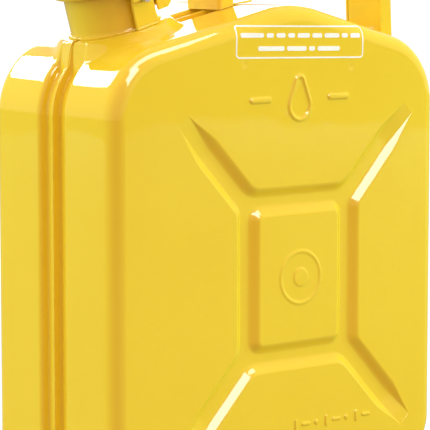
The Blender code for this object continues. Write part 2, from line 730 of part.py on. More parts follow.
def make_handle(yellow):
    half = HANDLE_WIDTH / 2.0
    web = HANDLE_SHEET / 2.0
    sheet = HANDLE_SHEET
    channel_section = [
        (-half, HANDLE_FLANGE), (-half, web + 0.6), (-half + 1.4, -web), (half - 1.4, -web),
        (half, web + 0.6), (half, HANDLE_FLANGE), (half - sheet, HANDLE_FLANGE),
        (half - sheet, web), (-half + sheet, web), (-half + sheet, HANDLE_FLANGE)]
    line = handle_line()
    channel = add_object("handle_channel", sweep("handle_channel", line, channel_section),
                         yellow)
    around_body = [tuple(point + normal * HANDLE_CLEARANCE) for point, normal in body_outline()]
    body_clear = make_cutter("body_clearance", prism("body_clearance", around_body, -25.0, 25.0))
    boolean(channel, body_clear)

    inner_half = half - sheet - FIT_GAP
    strip_section = [
        (-inner_half, HANDLE_FLANGE - 1.5), (inner_half, HANDLE_FLANGE - 1.5),
        (inner_half, HANDLE_FLANGE - 0.2), (-inner_half, HANDLE_FLANGE - 0.2)]
    covered = [p for p in line if p.y > (GRIP_LOW_FRONT if p.x < 0.0 else GRIP_LOW_REAR)]
    grip = add_object("handle_grip_strip", sweep("handle_grip_strip", covered, strip_section),
                      yellow)
    boolean(grip, body_clear)

    riser_x = HANDLE_FRONT_X + web + FIT_GAP + 1.0
    slope = (RIDGE_HEIGHT - SHOULDER_HEIGHT) / (RIDGE_X + BODY_LENGTH / 2.0)
    foot_top = RIDGE_HEIGHT - slope * (RIDGE_X - riser_x) + HANDLE_CLEARANCE + 0.8
    foot = [(riser_x, foot_top + 16.0, 0.0), (riser_x + 0.1, foot_top + 0.1, 2.5),
            (riser_x + 24.0, foot_top + slope * 22.0 - 1.6, 0.0)]
    outline, _ = strip_outline(foot, 1.2)
    front_foot = add_object("handle_foot", prism("handle_foot", outline, -11.5, 11.5), yellow)
    boolean(front_foot, body_clear)


def put_origin(names, point):
    """Moves the origins of these objects onto a joint's axis and leaves their shapes in place."""
    place = Vector(to_metres([neck_to_body(*point)])[0])
    for name in names:
        obj = bpy.data.objects[name]
        obj.data.transform(Matrix.Translation(-place))
        obj.location = place


def main():
    clear_scene()
    yellow = material("yellow_paint", YELLOW, 0.12, 0.0)
    rubber = material("black_rubber", RUBBER, 0.7, 0.0)
    zinc = material("zinc_plate", ZINC, 0.35, 1.0)
    hole = make_cutter("filler_hole", close_poles(turned(
        "filler_hole", [(0.0001, -30.0), (HOLE_RADIUS, -30.0), (HOLE_RADIUS, 30.0),
                        (0.0001, 30.0)], 40, closed=False)))
    half_shell("near_shell", -1, yellow, hole)
    half_shell("far_shell", 1, yellow, hole)
    make_neck(yellow)
    make_breather(zinc)
    make_catches(yellow, zinc)
    make_hinge(yellow, zinc)
    make_lid(yellow, rubber, zinc)
    make_lever(yellow, zinc)
    make_handle(yellow)
    put_origin(("lid", "lid_gasket", "gasket_retainer", "retainer_rivet", "lever_pivot_near",
                "lever_pivot_far"), (HINGE[0], 0.0, HINGE[1]))
    put_origin(("closure_lever",), (LEVER_PIVOT[0], 0.0, LEVER_PIVOT[1]))
    put_origin(("lock_pin", "lock_ring"), (LOCK_HOLE[0], LOCK_TIP_V, LOCK_HOLE[1]))


main()
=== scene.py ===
"""A small pressed-steel jerry can in glossy yellow enamel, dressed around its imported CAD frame.

Lengths are in millimetres in the can's own axes (x along the can from its middle, y across it,
z up) and become metres in the frame when a mesh is made."""

import json
import math

import bmesh
import bpy
from mathutils import Matrix, Vector
from mathutils.geometry import delaunay_2d_cdt


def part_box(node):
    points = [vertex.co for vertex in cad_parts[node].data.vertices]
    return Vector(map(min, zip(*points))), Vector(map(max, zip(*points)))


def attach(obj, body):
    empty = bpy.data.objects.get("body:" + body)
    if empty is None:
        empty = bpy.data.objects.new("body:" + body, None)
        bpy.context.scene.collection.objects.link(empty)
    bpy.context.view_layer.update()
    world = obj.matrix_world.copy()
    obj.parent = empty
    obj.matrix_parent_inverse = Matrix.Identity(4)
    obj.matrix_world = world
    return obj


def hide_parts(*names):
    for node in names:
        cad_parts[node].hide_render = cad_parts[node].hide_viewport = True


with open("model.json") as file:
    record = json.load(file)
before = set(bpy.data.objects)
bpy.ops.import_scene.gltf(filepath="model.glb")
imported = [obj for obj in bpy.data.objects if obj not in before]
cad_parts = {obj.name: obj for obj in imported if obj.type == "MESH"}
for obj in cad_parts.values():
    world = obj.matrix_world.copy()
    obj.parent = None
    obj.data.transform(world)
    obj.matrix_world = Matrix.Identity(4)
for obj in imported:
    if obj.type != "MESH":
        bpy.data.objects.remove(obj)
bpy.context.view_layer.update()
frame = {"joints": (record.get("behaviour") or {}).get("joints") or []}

MM = 0.001
shell_low, shell_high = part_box("near_shell")
MIDDLE_X = (shell_low.x + shell_high.x) / 2.0 / MM   # the body's middle in the frame, mm
BODY_LENGTH = (shell_high.x - shell_low.x) / MM
BODY_DEPTH = -2.0 * shell_low.y / MM
SHEET = 1.0

# The outline of the pressed body
SHOULDER_HEIGHT = 240.0
RIDGE_HEIGHT = 269.0
RIDGE_X = 12.0
BOTTOM_RADIUS = 26.0
SHOULDER_RADIUS = 40.0
RIDGE_RADIUS = 70.0
FACE_RADIUS = 9.0

# The valley round the middle and the two welded flanges that stand in it
VALLEY_EDGE = 13.6
VALLEY_DEPTH = 5.0
VALLEY_SHOULDER = 3.0
VALLEY_ROOT = 2.0
VALLEY_TILT = math.radians(75.0)
FLANGE_INSET = 0.4
FLANGE_FACE = 1.15
MATING_FACE = 0.15

# The pressed X on each large face, measured from its centre
PATTERN_X = 12.0
PATTERN_Z = 116.0
PRESS_DEPTH = 4.0
PRESS_WIDTH = 6.5            # width of the soft S-shaped wall of a pressing
PRESS_START = -1.25          # where that wall begins, seen from the edge line
PANEL_HALF = (33.2, 40.3)
PANEL_RADIUS = 7.0
RING_HALF = (40.4, 46.8)
SIDE_BEND_Z = 40.0
TRAPEZOID_BEND_X = 34.5
SIDE_BEND_RADIUS = 9.0
TRAPEZOID_BEND_RADIUS = 15.0
ARM_SLOPE = math.radians(46.5)
ARM_END_X = 79.0
ARM_RAMP = 25.0

# The filler neck's frame: u toward the ridge, v along y, w out along the neck
NECK_FOOT = (-74.3, 255.8)
NECK_LEAN = math.radians(15.7)
NECK_RADIUS = 24.0
NECK_WALL = 1.3
NECK_HEIGHT = 27.0
BOSS_RADIUS = 28.5
BOSS_RUN = 8.5
HOLE_RADIUS = 21.0
LIP_RADIUS = 26.0

# The closure, in the neck's frame
LID_RADIUS = 29.0
LID_WALL = 1.5
LID_SKIRT_END = 22.5
LID_UNDERSIDE = 31.1
LID_TOP = 33.5
ARM_INNER = 30.4
ARM_SHEET = 1.6
EAR_INNER = 16.0
EAR_SHEET = 1.6
CATCH = (2.0, 16.5)
CATCH_EAR = (26.4, 28.0)     # inner and outer face of each ear
LOCK_HOLE = (-12.0, 30.5)
LOCK_BORE_RADIUS = 1.6
LOCK_STEM_RADIUS = 1.3
LOCK_STEM_TIP = -30.8
LOCK_EYE_V = -39.5
LOCK_EYE_RADIUS = 2.4
LOCK_RING_RADIUS = 4.5
LOCK_WIRE_RADIUS = 0.8

# The handle
HANDLE_HALF = 15.0
HANDLE_SHEET = 1.5
HANDLE_FLANGE = 9.0
HANDLE_TOP = 312.0
HANDLE_FRONT_X = -12.0
HANDLE_REAR_X = 117.8
HANDLE_BULGE_X = 120.4
HANDLE_CLEARANCE = 0.4
GRIP_LOW_FRONT = 262.0
GRIP_LOW_REAR = 226.0


# ---- Places and small geometry ----

def in_frame(x, y, z):
    """A point of the can in the frame, metres."""
    return Vector(((x + MIDDLE_X) * MM, y * MM, z * MM))


def from_neck(u, v, w):
    """A point of the neck's frame in the can's axes."""
    c, s = math.cos(NECK_LEAN), math.sin(NECK_LEAN)
    return (NECK_FOOT[0] + u * c - w * s, v, NECK_FOOT[1] + u * s + w * c)


def to_neck(x, y, z):
    """A point of the can in the neck's frame."""
    c, s = math.cos(NECK_LEAN), math.sin(NECK_LEAN)
    dx, dz = x - NECK_FOOT[0], z - NECK_FOOT[1]
    return (dx * c + dz * s, y, -dx * s + dz * c)


def joint_in_neck(name):
    """A joint's place in the neck's frame, as (u, w)."""
    place = next(j for j in frame["joints"] if j["name"] == name)["pos_m"]
    u, _, w = to_neck(place[0] / MM - MIDDLE_X, 0.0, place[2] / MM)
    return (u, w)


HINGE = joint_in_neck("lid_hinge")
LEVER_PIVOT = joint_in_neck("lever_pivot")


def smoothstep(a, b, x):
    """An even S-shaped rise from 0 at a to 1 at b."""
    t = min(1.0, max(0.0, (x - a) / (b - a)))
    return t * t * (3.0 - 2.0 * t)


def arc(centre, radius, start, end, steps):
    """Points of an arc; angles in degrees."""
    points = []
    for k in range(steps + 1):
        angle = math.radians(start + (end - start) * k / steps)
        points.append((centre[0] + radius * math.cos(angle), centre[1] + radius * math.sin(angle)))
    return points


def circle(centre, radius, steps):
    """Points evenly round a circle."""
    return [(centre[0] + radius * math.cos(a), centre[1] + radius * math.sin(a))
            for a in (2.0 * math.pi * k / steps for k in range(steps))]


def tangent_at(line, i):
    """The direction of an open line at its point i."""
    return (line[min(i + 1, len(line) - 1)] - line[max(i - 1, 0)]).normalized()


def fillet(points, steps=6):
    """Rounds the corners of a closed outline given as (x, y, radius)."""
    result = []
    count = len(points)
    for i, (x, y, radius) in enumerate(points):
        here = Vector((x, y))
        if radius <= 0.0:
            result.append((x, y))
            continue
        before = (Vector(points[i - 1][:2]) - here).normalized()
        after = (Vector(points[(i + 1) % count][:2]) - here).normalized()
        result.extend(bend(here, before, after, radius, steps))
    return result


def bend(here, before, after, radius, steps):
    """The arc that rounds a corner between two unit directions leaving it."""
    half = before.angle(after) / 2.0
    centre = here + (before + after).normalized() * (radius / math.sin(half))
    start = here + before * (radius / math.tan(half)) - centre
    end = here + after * (radius / math.tan(half)) - centre
    turn = -start.angle_signed(end)
    points = []
    for k in range(steps + 1):
        c, s = math.cos(turn * k / steps), math.sin(turn * k / steps)
        points.append((centre.x + start.x * c - start.y * s, centre.y + start.x * s + start.y * c))
    return points


def bent_line(points, steps=10):
    """An open line through (x, y, bend radius) corners."""
    line = []
    for i, (x, y, radius) in enumerate(points):
        here = Vector((x, y))
        if radius <= 0.0:
            line.append(here)
            continue
        before = (Vector(points[i - 1][:2]) - here).normalized()
        after = (Vector(points[i + 1][:2]) - here).normalized()
        line.extend(Vector(p) for p in bend(here, before, after, radius, steps))
    return line


def thickened(line, thickness):
    """The closed outline of a bent strip along an open line."""
    left, right = [], []
    for i, here in enumerate(line):
        tangent = tangent_at(line, i)
        normal = Vector((-tangent.y, tangent.x)) * (thickness / 2.0)
        left.append(tuple(here + normal))
        right.append(tuple(here - normal))
    return left + right[::-1]


# ---- Meshes ----

CREASE = math.radians(38.0)        # a sharper turn than this stays a hard line
ROUNDED_FROM = math.radians(35.0)  # a sharper turn than this is given a rounded edge


def mesh_of(name, vertices, faces, weld=0.004):
    """A mesh in the frame from points in millimetres, welded and turned outward."""
    mesh = bpy.data.meshes.new(name)
    mesh.from_pydata([in_frame(*p) for p in vertices], [], faces)
    bm = bmesh.new()
    bm.from_mesh(mesh)
    bmesh.ops.remove_doubles(bm, verts=bm.verts, dist=weld * MM)
    bmesh.ops.holes_fill(bm, edges=[e for e in bm.edges if e.is_boundary], sides=0)
    bmesh.ops.recalc_face_normals(bm, faces=bm.faces)
    if bm.calc_volume(signed=True) < 0.0:
        bmesh.ops.reverse_faces(bm, faces=bm.faces)
    bm.to_mesh(mesh)
    bm.free()
    return mesh


def merged(name, meshes):
    """One mesh from several."""
    bm = bmesh.new()
    for mesh in meshes:
        bm.from_mesh(mesh)
        bpy.data.meshes.remove(mesh)
    result = bpy.data.meshes.new(name)
    bm.to_mesh(result)
    bm.free()
    return result


def rolled_steel(obj):
    """Smooth shading in which flat areas stay flat up to their rounded edges."""
    obj.data.shade_smooth()
    obj.data.set_sharp_from_angle(angle=CREASE)
    mod = obj.modifiers.new("Flat_areas_lead", "WEIGHTED_NORMAL")
    mod.keep_sharp = True
    mod.weight = 60


def piece(name, mesh, finish, body, stands_for=(), edge=0.0):
    """Adds a piece that moves with a body of the frame. edge: rounding of its edges, mm."""
    mesh.materials.clear()
    mesh.materials.append(finish)
    obj = bpy.data.objects.new(name, mesh)
    bpy.context.scene.collection.objects.link(obj)
    if edge > 0.0:
        mod = obj.modifiers.new("Rounded_edges", "BEVEL")
        mod.width = edge * MM
        mod.segments = 3
        mod.limit_method = "ANGLE"
        mod.angle_limit = ROUNDED_FROM
        mod.use_clamp_overlap = True
    rolled_steel(obj)
    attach(obj, body)
    if stands_for:
        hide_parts(*stands_for)
    return obj


def cut_mesh(mesh, cutter):
    """A mesh with another mesh cut out of it."""
    blank = bpy.data.objects.new("blank", mesh)
    tool = bpy.data.objects.new("cutting_tool", cutter)
    for obj in (blank, tool):
        bpy.context.scene.collection.objects.link(obj)
    mod = blank.modifiers.new("Cut", "BOOLEAN")
    mod.operation = "DIFFERENCE"
    mod.solver = "EXACT"
    mod.object = tool
    bpy.context.view_layer.update()
    cut = bpy.data.meshes.new_from_object(blank.evaluated_get(
        bpy.context.evaluated_depsgraph_get()))
    for obj in (blank, tool):
        bpy.data.objects.remove(obj)
    return cut


def turned(name, profile, segments=64, at=(0.0, 0.0), along="w", closed=True):
    """A turned solid in the neck's frame. profile: (radius, height) pairs."""
    vertices, faces = [], []
    count = len(profile)
    for k in range(segments):
        angle = 2.0 * math.pi * k / segments
        for radius, height in profile:
            a, b = radius * math.cos(angle), radius * math.sin(angle)
            local = (at[0] + a, b, at[1] + height) if along == "w" else (at[0] + a, height,
                                                                         at[1] + b)
            vertices.append(from_neck(*local))
    for k in range(segments):
        n = (k + 1) % segments
        for i in range(count if closed else count - 1):
            j = (i + 1) % count
            faces.append((k * count + i, n * count + i, n * count + j, k * count + j))
    return mesh_of(name, vertices, faces)


def bar(name, at, v_from, v_to, radius, head=None, segments=32):
    """A round bar along y in the neck's frame, chamfered or with domed heads (radius, height)."""
    tiny, soft = 0.02, 0.35
    if head:
        wide, high = head
        dome = [(wide * math.sin(a), high * math.cos(a))
                for a in (math.radians(15.0 * k) for k in range(1, 7))]
        profile = [(tiny, v_from - high)] + [(r, v_from - h) for r, h in dome]
        profile += [(radius, v_from), (radius, v_to)]
        profile += [(r, v_to + h) for r, h in reversed(dome)] + [(tiny, v_to + high)]
    else:
        profile = [(tiny, v_from), (radius - soft, v_from), (radius, v_from + soft),
                   (radius, v_to - soft), (radius - soft, v_to), (tiny, v_to)]
    return turned(name, profile, segments, at, along="v", closed=False)


def in_place(x, y, z):
    """For outlines that are drawn in the can's own axes."""
    return (x, y, z)


def extruded(name, outline, y_from, y_to, place=in_place):
    """A flat solid between two values of y; place turns (a, y, b) into the can's axes."""
    count = len(outline)
    vertices = [place(a, y_from, b) for a, b in outline]
    vertices += [place(a, y_to, b) for a, b in outline]
    faces = [list(range(count)), list(range(count, 2 * count))]
    for i in range(count):
        j = (i + 1) % count
        faces.append((i, j, count + j, count + i))
    return mesh_of(name, vertices, faces)


def plate(name, outline, v_from, v_to):
    """A flat piece of sheet that stands along the neck."""
    return extruded(name, outline, v_from, v_to, from_neck)


def swept(name, line, section):
    """Sweeps a closed section of (across, inward) points along a line in the xz plane."""
    vertices, faces = [], []
    count = len(section)
    for i, here in enumerate(line):
        tangent = tangent_at(line, i)
        inward = Vector((tangent.y, -tangent.x))
        for across, depth in section:
            spot = here + inward * depth
            vertices.append((spot.x, across, spot.y))
    for i in range(len(line) - 1):
        for k in range(count):
            j = (k + 1) % count
            faces.append((i * count + k, i * count + j, (i + 1) * count + j,
                          (i + 1) * count + k))
    faces.append(list(range(count)))
    faces.append(list(range((len(line) - 1) * count, len(line) * count)))
    return mesh_of(name, vertices, faces)


def ring_of(name, path, radius, segments=10, wobble=0.0):
    """A closed round cord of weld or wire through a loop of points in the can's axes."""
    count = len(path)
    vertices, faces = [], []
    for i, here in enumerate(path):
        here = Vector(here)
        tangent = (Vector(path[(i + 1) % count]) - Vector(path[i - 1])).normalized()
        side = tangent.cross(Vector((0.0, 1.0, 0.0)))
        if side.length < 0.05:
            side = tangent.cross(Vector((0.0, 0.0, 1.0)))
        side.normalize()
        up = side.cross(tangent)
        # Two waves that never quite line up make the bead uneven, as one laid by hand is
        r = radius * (1.0 + wobble * math.sin(i * 1.9) * math.sin(i * 0.37 + 1.0))
        for k in range(segments):
            a = 2.0 * math.pi * k / segments
            vertices.append(tuple(here + (side * math.cos(a) + up * math.sin(a)) * r))
    for i in range(count):
        n = (i + 1) % count
        for k in range(segments):
            j = (k + 1) % segments
            faces.append((i * segments + k, n * segments + k, n * segments + j,
                          i * segments + j))
    return mesh_of(name, vertices, faces)


# ---- The pressed half shells ----

def rounded_polygon(corners, spacing):
    """Points and outward normals round a closed convex outline, anticlockwise.

    corners: (x, z, radius, arc steps); spacing: the largest gap on the straight run that
    follows each corner."""
    count = len(corners)
    arcs = []
    for i, (x, z, radius, steps) in enumerate(corners):
        here = Vector((x, z))
        before = (Vector(corners[i - 1][:2]) - here).normalized()
        after = (Vector(corners[(i + 1) % count][:2]) - here).normalized()
        half = before.angle(after) / 2.0
        centre = here + (before + after).normalized() * (radius / math.sin(half))
        start = here + before * (radius / math.tan(half)) - centre
        base = math.atan2(start.y, start.x)
        curve = []
        for k in range(steps + 1):
            angle = base + (math.pi - 2.0 * half) * k / steps
            normal = Vector((math.cos(angle), math.sin(angle)))
            curve.append((centre + normal * radius, normal))
        arcs.append(curve)
    points = []
    for i, curve in enumerate(arcs):
        points.extend(curve)
        start, normal = curve[-1]
        end = arcs[(i + 1) % count][0][0]
        steps = max(1, math.ceil((end - start).length / spacing[i]))
        points.extend((start.lerp(end, k / steps), normal) for k in range(1, steps))
    return points


def body_outline():
    """The can seen from the side, from its bottom left corner round to its left shoulder."""
    half = BODY_LENGTH / 2.0
    corners = [
        (-half, 0.0, BOTTOM_RADIUS, 18),
        (half, 0.0, BOTTOM_RADIUS, 18),
        (half, SHOULDER_HEIGHT, SHOULDER_RADIUS, 24),
        (RIDGE_X, RIDGE_HEIGHT, RIDGE_RADIUS, 14),
        (-half, SHOULDER_HEIGHT, SHOULDER_RADIUS, 28),
    ]
    return rounded_polygon(corners, (20.0, 20.0, 6.0, 1.8, 20.0))


OUTLINE = body_outline()


def shell_profile():
    """The section of a half shell as (inset, distance from the middle plane), face to flange."""
    half = BODY_DEPTH / 2.0
    # The rounded edge of the large face and the flat side
    profile = [(FACE_RADIUS * (1.0 - math.cos(a)), half - FACE_RADIUS * (1.0 - math.sin(a)))
               for a in (math.radians(90.0 - 7.5 * k) for k in range(13))]
    steps = 15
    top = half - FACE_RADIUS
    profile += [(0.0, top + (VALLEY_EDGE - top) * k / steps) for k in range(1, steps)]
    # The turn into the valley, its steep wall and its root
    for k in range(9):
        a = VALLEY_TILT * k / 8
        profile.append((VALLEY_SHOULDER * (1.0 - math.cos(a)),
                        VALLEY_EDGE - VALLEY_SHOULDER * math.sin(a)))
    sink, out = profile[-1]
    run = (VALLEY_DEPTH - sink - VALLEY_ROOT * (1.0 - math.cos(VALLEY_TILT)))
    run /= math.sin(VALLEY_TILT)
    sink += run * math.sin(VALLEY_TILT)
    out -= run * math.cos(VALLEY_TILT)
    for k in range(7):
        a = VALLEY_TILT * (1.0 - k / 6)
        profile.append((VALLEY_DEPTH - VALLEY_ROOT * (1.0 - math.cos(a)),
                        out - VALLEY_ROOT * (math.sin(VALLEY_TILT) - math.sin(a))))
    # The foot of the flange, its face and its rounded lip
    foot = 1.0
    for k in range(5):
        a = math.radians(22.5 * k)
        profile.append((VALLEY_DEPTH - foot + foot * math.cos(a),
                        FLANGE_FACE + foot - foot * math.sin(a)))
    profile += [(2.6, FLANGE_FACE), (1.4, FLANGE_FACE)]
    lip = 0.35
    for k in range(4):
        a = math.radians(30.0 * k)
        profile.append((FLANGE_INSET + lip - lip * math.sin(a),
                        FLANGE_FACE - lip + lip * math.cos(a)))
    return profile


def inner_profile(outer):
    """The same section moved in by the sheet's thickness, without the flange's lip."""
    kept = outer[:-3]
    down = Vector((0.0, -1.0))
    moved = []
    for i, (inset, out) in enumerate(kept):
        before, after = kept[max(i - 1, 0)], kept[min(i + 1, len(kept) - 1)]
        tangent = Vector((after[0] - before[0], after[1] - before[1])).normalized()
        normal = Vector((-tangent.y, tangent.x))
        if normal.x < -0.2:
            normal = -normal
        if i == 0 or out <= FLANGE_FACE + 0.01:
            normal = down
        moved.append((inset + normal.x * SHEET, out + normal.y * SHEET))
    moved.append((FLANGE_INSET + 0.15, MATING_FACE))
    return moved


def on_boss(x, y, z, level):
    """Draws a point of the skin up onto the round boss that the neck stands on."""
    if z < SHOULDER_HEIGHT - SHOULDER_RADIUS or x > 0.0:
        return (x, y, z)
    u, v, w = to_neck(x, y, z)
    share = 1.0 - smoothstep(BOSS_RADIUS, BOSS_RADIUS + BOSS_RUN, math.hypot(u, v))
    return from_neck(u, v, w + (level - w) * share)


def share_of_depth(along):
    """How deep the X pressing is at a distance before the end of an arm, 0 to 1."""
    t = min(1.0, max(0.0, along / ARM_RAMP))
    return 0.02 + 0.98 * (0.5 * t + 0.5 * smoothstep(0.0, 1.0, t))


def recess_edge():
    """The edge line of the X-shaped recess as (x, z, share of depth), anticlockwise."""
    along = Vector((math.cos(ARM_SLOPE), math.sin(ARM_SLOPE)))
    side = Vector((RING_HALF[0], SIDE_BEND_Z))
    top = Vector((TRAPEZOID_BEND_X, RING_HALF[1]))
    top_tip = top + along * ((ARM_END_X - top.x) / along.x)
    side_tip = side + along * (top_tip - side).dot(along)
    stations = [k / 12 for k in range(13)]
    points = [Vector((RING_HALF[0], z)) for z in (0.0, 12.0, 24.0)]
    points += [Vector(p) for p in bend(side, Vector((0.0, -1.0)), along, SIDE_BEND_RADIUS, 8)]
    points += [side_tip - along * (ARM_RAMP * (1.0 - t)) for t in stations]
    points += [side_tip.lerp(top_tip, t) for t in (0.25, 0.5, 0.75)]
    points += [top_tip - along * (ARM_RAMP * t) for t in stations]
    points += [Vector(p) for p in bend(top, along, Vector((-1.0, 0.0)), TRAPEZOID_BEND_RADIUS,
                                       12)]
    points += [Vector((x, RING_HALF[1])) for x in (14.0, 0.0)]
    quarter = [(p.x, p.y, share_of_depth((top_tip - p).dot(along))) for p in points]
    loop = []
    for sx, sz, flip in ((1, 1, False), (-1, 1, True), (-1, -1, False), (1, -1, True)):
        part = [(x * sx, z * sz, share) for x, z, share in quarter]
        part = part[::-1] if flip else part
        loop.extend(part[:-1])
    return loop


def rounded_box(half_x, half_z, radius, steps=8):
    """A rectangle with rounded corners, anticlockwise round its centre."""
    loop = []
    for sx, sz, start in ((1, -1, -90.0), (1, 1, 0.0), (-1, 1, 90.0), (-1, -1, 180.0)):
        centre = (sx * (half_x - radius), sz * (half_z - radius))
        loop.extend(arc(centre, radius, start, start + 90.0, steps))
    return loop


def moved_out(loop, distance):
    """Moves an anticlockwise (x, z, share) loop outward by a distance times its share."""
    moved = []
    count = len(loop)
    for i, (x, z, share) in enumerate(loop):
        here = Vector((x, z))
        before = (here - Vector(loop[i - 1][:2])).normalized()
        after = (Vector(loop[(i + 1) % count][:2]) - here).normalized()
        normal = Vector((before.y + after.y, -before.x - after.x)).normalized()
        stretch = 1.0 / max(0.5, normal.dot(Vector((after.y, -after.x))))
        shift = normal * (distance * share * stretch)
        moved.append((x + shift.x, z + shift.y, share))
    return moved


def pressing(edge, outward):
    """The loops of a pressing's S-shaped wall, as (loop, depth) pairs."""
    steps = 11
    loops = []
    for k in range(steps + 1):
        t = k / steps
        distance = PRESS_START + PRESS_WIDTH * t
        depth = PRESS_DEPTH * 0.5 * (1.0 + math.cos(math.pi * t))
        loops.append((moved_out(edge, distance if outward else -distance), depth))
    return loops


def raised_pad(outline, height, wall):
    """The loops of a low raised pad inside an outline."""
    loops = []
    for k in range(6):
        t = k / 5
        rise = height * 0.5 * (1.0 - math.cos(math.pi * t))
        loops.append((moved_out([(x, z, 1.0) for x, z in outline], -wall * t), -rise))
    return loops


def raised_rib(line, half_width, height):
    """The loops of a rounded rib along a closed line."""
    loops = []
    for k in range(-4, 5):
        t = k / 4
        rise = height * 0.5 * (1.0 + math.cos(math.pi * t))
        loops.append((moved_out([(x, z, 1.0) for x, z in line], half_width * t), -rise))
    return loops


def capsule(centre, half_length, radius, steps=7, upright=False):
    """A short bar with round ends, level or upright."""
    ends = arc((half_length, 0.0), radius, -90.0, 90.0, steps)
    ends += arc((-half_length, 0.0), radius, 90.0, 270.0, steps)
    if upright:
        ends = [(-z, x) for x, z in ends]
    return [(centre[0] + x, centre[1] + z) for x, z in ends]


def drop_line(centre, foot_radius, tip_radius, height):
    """The line of a drop: a round foot and a small round tip joined by straight flanks."""
    rise = height - foot_radius - tip_radius
    lean = math.degrees(math.asin((foot_radius - tip_radius) / rise))
    line = arc((0.0, 0.0), foot_radius, 180.0 - lean, 360.0 + lean, 26)
    line += arc((0.0, rise), tip_radius, lean, 180.0 - lean, 12)
    return [(centre[0] + x, centre[1] + z) for x, z in line]


def face_marks():
    """Raised marks on a large face: level dashes and drop, ring in the panel, stamped row."""
    loops = []
    for x in (-28.5, 28.5):
        loops += raised_pad(capsule((x, 99.7), 6.2, 2.3), 1.0, 1.7)
    loops += raised_rib(drop_line((0.0, 95.6), 7.6, 2.9, 24.0), 1.9, 1.0)
    loops += raised_rib(arc((1.0, 0.0), 14.5, 0.0, 352.5, 47), 1.8, 0.55)
    loops += raised_pad(arc((1.0, 0.0), 6.0, 0.0, 348.0, 29), 0.55, 1.6)
    for k in range(8):
        centre = (-2.0 + 7.6 * k, -83.5)
        if k % 3 == 2:
            loops += raised_pad(arc(centre, 1.9, 0.0, 340.0, 17), 0.7, 1.1)
        else:
            loops += raised_pad(capsule(centre, 2.3, 1.4, 5, upright=k % 3 == 0), 0.7, 1.0)
    # A shallow dimple under each end of the label
    for x, z in ((-39.7, 119.8), (38.2, 116.2)):
        loops += raised_pad(arc((x, z), 3.0, 0.0, 345.0, 23), -0.22, 2.6)
    return loops


def face_plan(rim):
    """The large face in the xz plane: its points with depths below the face, and triangles."""
    edge = recess_edge()
    panel = [(x, z, 1.0) for x, z in rounded_box(*PANEL_HALF, PANEL_RADIUS)]
    loops = [([(x, z, 0.0) for x, z in rim], 0.0)]
    for group in (pressing(edge, True), pressing(panel, False), face_marks()):
        loops += [([(x + PATTERN_X, z + PATTERN_Z, share)
                    for x, z, share in loop], depth) for loop, depth in group]
    flat, depths, edges = [], [], []
    for loop, depth in loops:
        first = len(flat)
        for k, (x, z, share) in enumerate(loop):
            flat.append(Vector((x, z)))
            depths.append(depth * share)
            edges.append((first + k, first + (k + 1) % len(loop)))
    verts, _, faces, origin, _, _ = delaunay_2d_cdt(flat, edges, [], 0, 1e-6)
    sliver = 1e-4
    kept = []
    for a, b, c in faces:
        if abs((verts[b] - verts[a]).cross(verts[c] - verts[a])) / 2.0 > sliver:
            kept.append((a, b, c))
    return [(v.x, v.y) for v in verts], [depths[source[0]] for source in origin], kept


def shell_skin(profile, sheet_depth, level):
    """One skin of the far half: strips round the outline, and the flat face with its pressing.

    level: the height of the boss under the neck, from the neck's foot."""
    vertices, faces = [], []
    for inset, out in profile:
        for point, normal in OUTLINE:
            x, z = point - normal * inset
            vertices.append(on_boss(x, out, z, level))
    count = len(OUTLINE)
    for row in range(len(profile) - 1):
        for k in range(count):
            n = (k + 1) % count
            faces.append((row * count + k, row * count + n,
                          (row + 1) * count + n, (row + 1) * count + k))
    first = len(vertices)
    plan, depths, triangles = PLAN
    height = BODY_DEPTH / 2.0 - sheet_depth
    vertices.extend((x, height - depth, z) for (x, z), depth in zip(plan, depths))
    faces.extend(tuple(first + i for i in tri) for tri in triangles)
    last_row = [(len(profile) - 1) * count + k for k in range(count)]
    return vertices, faces, last_row


PLAN = face_plan([tuple(point - normal * FACE_RADIUS) for point, normal in OUTLINE])


def pressed_half(name, side, finish, stands_for):
    """A half shell drawn from one sheet: two skins a sheet apart, joined at the flange.

    side: 1 for the far half, -1 for the near half, which is the far half mirrored."""
    outer = shell_profile()
    outside, outside_faces, outside_rim = shell_skin(outer, 0.0, 0.0)
    inside, inside_faces, inside_rim = shell_skin(inner_profile(outer), SHEET, -SHEET)
    start = len(outside)
    faces = outside_faces + [tuple(start + i for i in face) for face in inside_faces]
    count = len(outside_rim)
    for k in range(count):
        n = (k + 1) % count
        faces.append((outside_rim[k], outside_rim[n], start + inside_rim[n],
                      start + inside_rim[k]))
    mesh = mesh_of(name, outside + inside, faces)
    # Meant to open the can under the neck, but the sheet there comes out of it still whole
    round_edge = arc((0.0, 0.0), HOLE_RADIUS, 0.0, 354.375, 63)
    hole = extruded("filler_hole", round_edge, -30.0, 30.0, lambda u, w, v: from_neck(u, v, w))
    cut = cut_mesh(mesh, hole)
    if side < 0:
        cut.transform(Matrix.Scale(-1.0, 4, (0.0, 1.0, 0.0)))
        cut.flip_normals()
    return piece(name, cut, finish, "can", stands_for)


def seam_bead():
    """The line of weld that closes the two flanges, following their rims round the can."""
    bead = 0.55
    path = []
    for point, normal in OUTLINE:
        x, z = point - normal * (FLANGE_INSET + bead)
        path.append(on_boss(x, 0.0, z, 0.25))
    return ring_of("seam_weld", path, bead, wobble=0.12)


# ---- Surface effects shared by the finishes ----

